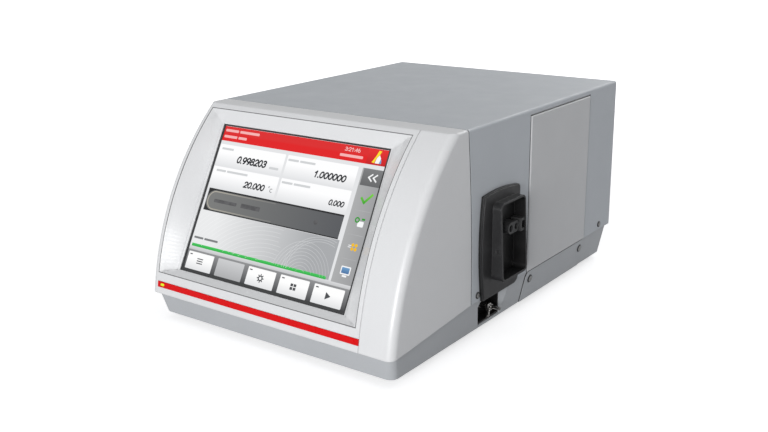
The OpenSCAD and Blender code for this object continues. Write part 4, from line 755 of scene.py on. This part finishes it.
def draw_keys():
    foot, head = 35.0, 54.3
    grey = ramp_up("keys_grey", srgb(48, 49, 52), srgb(150, 151, 153), 33, 60)
    Layer("picture_keys_back", 0.05, grey).rect(-114.4, 33.2, 114.0, 56.4)
    keys = Layer("picture_keys", 0.08, ramp_up("key_white", srgb(224, 225, 227), srgb(252, 252, 252), 35, 47))
    for x0, x1 in ((-110.8, -72.2), (-20.8, 17.8), (24.2, 62.8), (69.4, 107.8)):
        keys.rect(x0, foot, x1, head, 0.9)
    off_grey = ramp_up("key_grey", srgb(172, 173, 175), srgb(202, 203, 205), 36, 54)
    Layer("picture_key_off", 0.08, off_grey).rect(-65.8, foot, -27.2, head, 0.9)
    signs = Layer("picture_key_signs", 0.12, flat("key_ink", srgb(70, 72, 76)))
    for x, draw in ((-91.5, sign_lines), (-1.5, sign_cog), (43.5, sign_tiles), (88.6, sign_start)):
        draw(signs, x)
        signs.rect(x - 17.0, 50.8, x - 13.4, 52.0)


draw_back()
draw_header()
draw_readings()
draw_tube_picture()
draw_progress()
draw_column()
draw_signs()
draw_keys()
for layer in layers:
    layer.build()


# ---- Stage ----

FLOOR_RADIUS, FLOOR_CORNERS = 9.0, 64
FLOOR_COLOUR = (0.67, 0.67, 0.68, 1)
# The floor's own white near the object and away from it, seen by the camera only, and the radii between them
FLOOR_NEAR, FLOOR_FAR = 0.64, 1.0
FLOOR_FROM, FLOOR_TO = 0.5, 1.9
WORLD_COLOUR = (0.97, 0.985, 1.0, 1)
WORLD_STRENGTH = 0.38
# Share of the white backdrop that a shiny surface mirrors
MIRRORED = 0.6


def floor_material():
    """Matt and pale, whiter away from the object, so that the floor meets the backdrop."""
    mat = bpy.data.materials.new("floor_white")
    mat.use_nodes = True
    tree = mat.node_tree
    tree.nodes.clear()
    new, link = tree.nodes.new, tree.links.new
    diffuse = new("ShaderNodeBsdfDiffuse")
    diffuse.inputs["Color"].default_value = FLOOR_COLOUR
    reach = new("ShaderNodeVectorMath")
    reach.operation = "LENGTH"
    link(new("ShaderNodeTexCoord").outputs["Object"], reach.inputs[0])
    far = new("ShaderNodeMapRange")
    far.inputs["From Min"].default_value = FLOOR_FROM
    far.inputs["From Max"].default_value = FLOOR_TO
    far.inputs["To Min"].default_value = FLOOR_NEAR
    far.inputs["To Max"].default_value = FLOOR_FAR
    link(reach.outputs["Value"], far.inputs["Value"])
    strength = new("ShaderNodeMath")
    strength.operation = "MULTIPLY"
    link(new("ShaderNodeLightPath").outputs["Is Camera Ray"], strength.inputs[0])
    link(far.outputs["Result"], strength.inputs[1])
    white = new("ShaderNodeEmission")
    white.inputs["Color"].default_value = (1, 1, 1, 1)
    link(strength.outputs["Value"], white.inputs["Strength"])
    add = new("ShaderNodeAddShader")
    link(diffuse.outputs["BSDF"], add.inputs[0])
    link(white.outputs["Emission"], add.inputs[1])
    link(add.outputs["Shader"], new("ShaderNodeOutputMaterial").inputs["Surface"])
    return mat


def floor_piece():
    mesh = bpy.data.meshes.new("floor")
    turns = [2 * math.pi * i / FLOOR_CORNERS for i in range(FLOOR_CORNERS)]
    ring = [(FLOOR_RADIUS * math.cos(t), FLOOR_RADIUS * math.sin(t), 0.0) for t in turns]
    mesh.from_pydata(ring, [], [list(range(FLOOR_CORNERS))])
    mesh.materials.append(floor_material())
    made = bpy.data.objects.new("floor", mesh)
    scene.collection.objects.link(made)


def studio():
    """Soft even light, and a white backdrop for what the camera sees, sees through or sees mirrored."""
    world = bpy.data.worlds.new("studio")
    scene.world = world
    world.use_nodes = True
    tree = world.node_tree
    tree.nodes.clear()
    new, link = tree.nodes.new, tree.links.new
    light, white = new("ShaderNodeBackground"), new("ShaderNodeBackground")
    light.inputs["Color"].default_value = WORLD_COLOUR
    light.inputs["Strength"].default_value = WORLD_STRENGTH
    white.inputs["Color"].default_value = (1, 1, 1, 1)
    white.inputs["Strength"].default_value = 1.0
    path = new("ShaderNodeLightPath")
    direct, mirrored, seen = (new("ShaderNodeMath") for _ in range(3))
    direct.operation = seen.operation = "MAXIMUM"
    mirrored.operation = "MULTIPLY"
    mirrored.inputs[1].default_value = MIRRORED
    link(path.outputs["Is Camera Ray"], direct.inputs[0])
    link(path.outputs["Is Transmission Ray"], direct.inputs[1])
    link(path.outputs["Is Glossy Ray"], mirrored.inputs[0])
    link(direct.outputs["Value"], seen.inputs[0])
    link(mirrored.outputs["Value"], seen.inputs[1])
    blend = new("ShaderNodeMixShader")
    link(seen.outputs["Value"], blend.inputs["Fac"])
    link(light.outputs["Background"], blend.inputs[1])
    link(white.outputs["Background"], blend.inputs[2])
    link(blend.outputs["Shader"], new("ShaderNodeOutputWorld").inputs["Surface"])


def lamp(name, place, target, size, watts):
    data = bpy.data.lights.new(name, "AREA")
    data.shape = "RECTANGLE"
    data.size, data.size_y = size
    data.energy = watts
    made = bpy.data.objects.new(name, data)
    scene.collection.objects.link(made)
    made.location = place
    made.rotation_euler = (Vector(target) - Vector(place)).to_track_quat("-Z", "Y").to_euler()


floor_piece()
studio()
lamp("key_front", (0.8, -3.3, 0.75), (0.0, -0.15, 0.12), (1.6, 1.1), 87.0)
lamp("top_rear", (0.2, 1.7, 1.3), (0.05, 0.2, 0.2), (1.5, 1.0), 13.0)


# ---- Camera fitted to the photograph ----

CAMERA_AZ, CAMERA_EL, CAMERA_ROLL = 36.355, 16.908, -0.75
CAMERA_PLACE = (650.5, -668.9, 427.4)
FOCAL_PIXELS, PHOTO_WIDTH = 978.3, 768.0
SENSOR_WIDTH = 36.0


def camera():
    az, el, roll = (math.radians(a) for a in (CAMERA_AZ, CAMERA_EL, CAMERA_ROLL))
    back = Vector((math.sin(az) * math.cos(el), -math.cos(az) * math.cos(el), math.sin(el)))
    level = (-back).cross(Vector((0, 0, 1))).normalized()
    upright = level.cross(-back)
    right = level * math.cos(roll) + upright * math.sin(roll)
    up = -level * math.sin(roll) + upright * math.cos(roll)
    data = bpy.data.cameras.new("camera")
    data.type = "PERSP"
    data.sensor_width = SENSOR_WIDTH
    data.lens = FOCAL_PIXELS / PHOTO_WIDTH * SENSOR_WIDTH
    data.clip_start, data.clip_end = 0.05, 50.0
    made = bpy.data.objects.new("camera", data)
    scene.collection.objects.link(made)
    place = (Vector(CAMERA_PLACE) - Vector((MID_X, MID_Y, 0.0))) * MM
    made.matrix_world = Matrix((
        (right.x, up.x, back.x, place.x),
        (right.y, up.y, back.y, place.y),
        (right.z, up.z, back.z, place.z),
        (0, 0, 0, 1)))
    scene.camera = made


camera()
scene.view_settings.view_transform = "Standard"
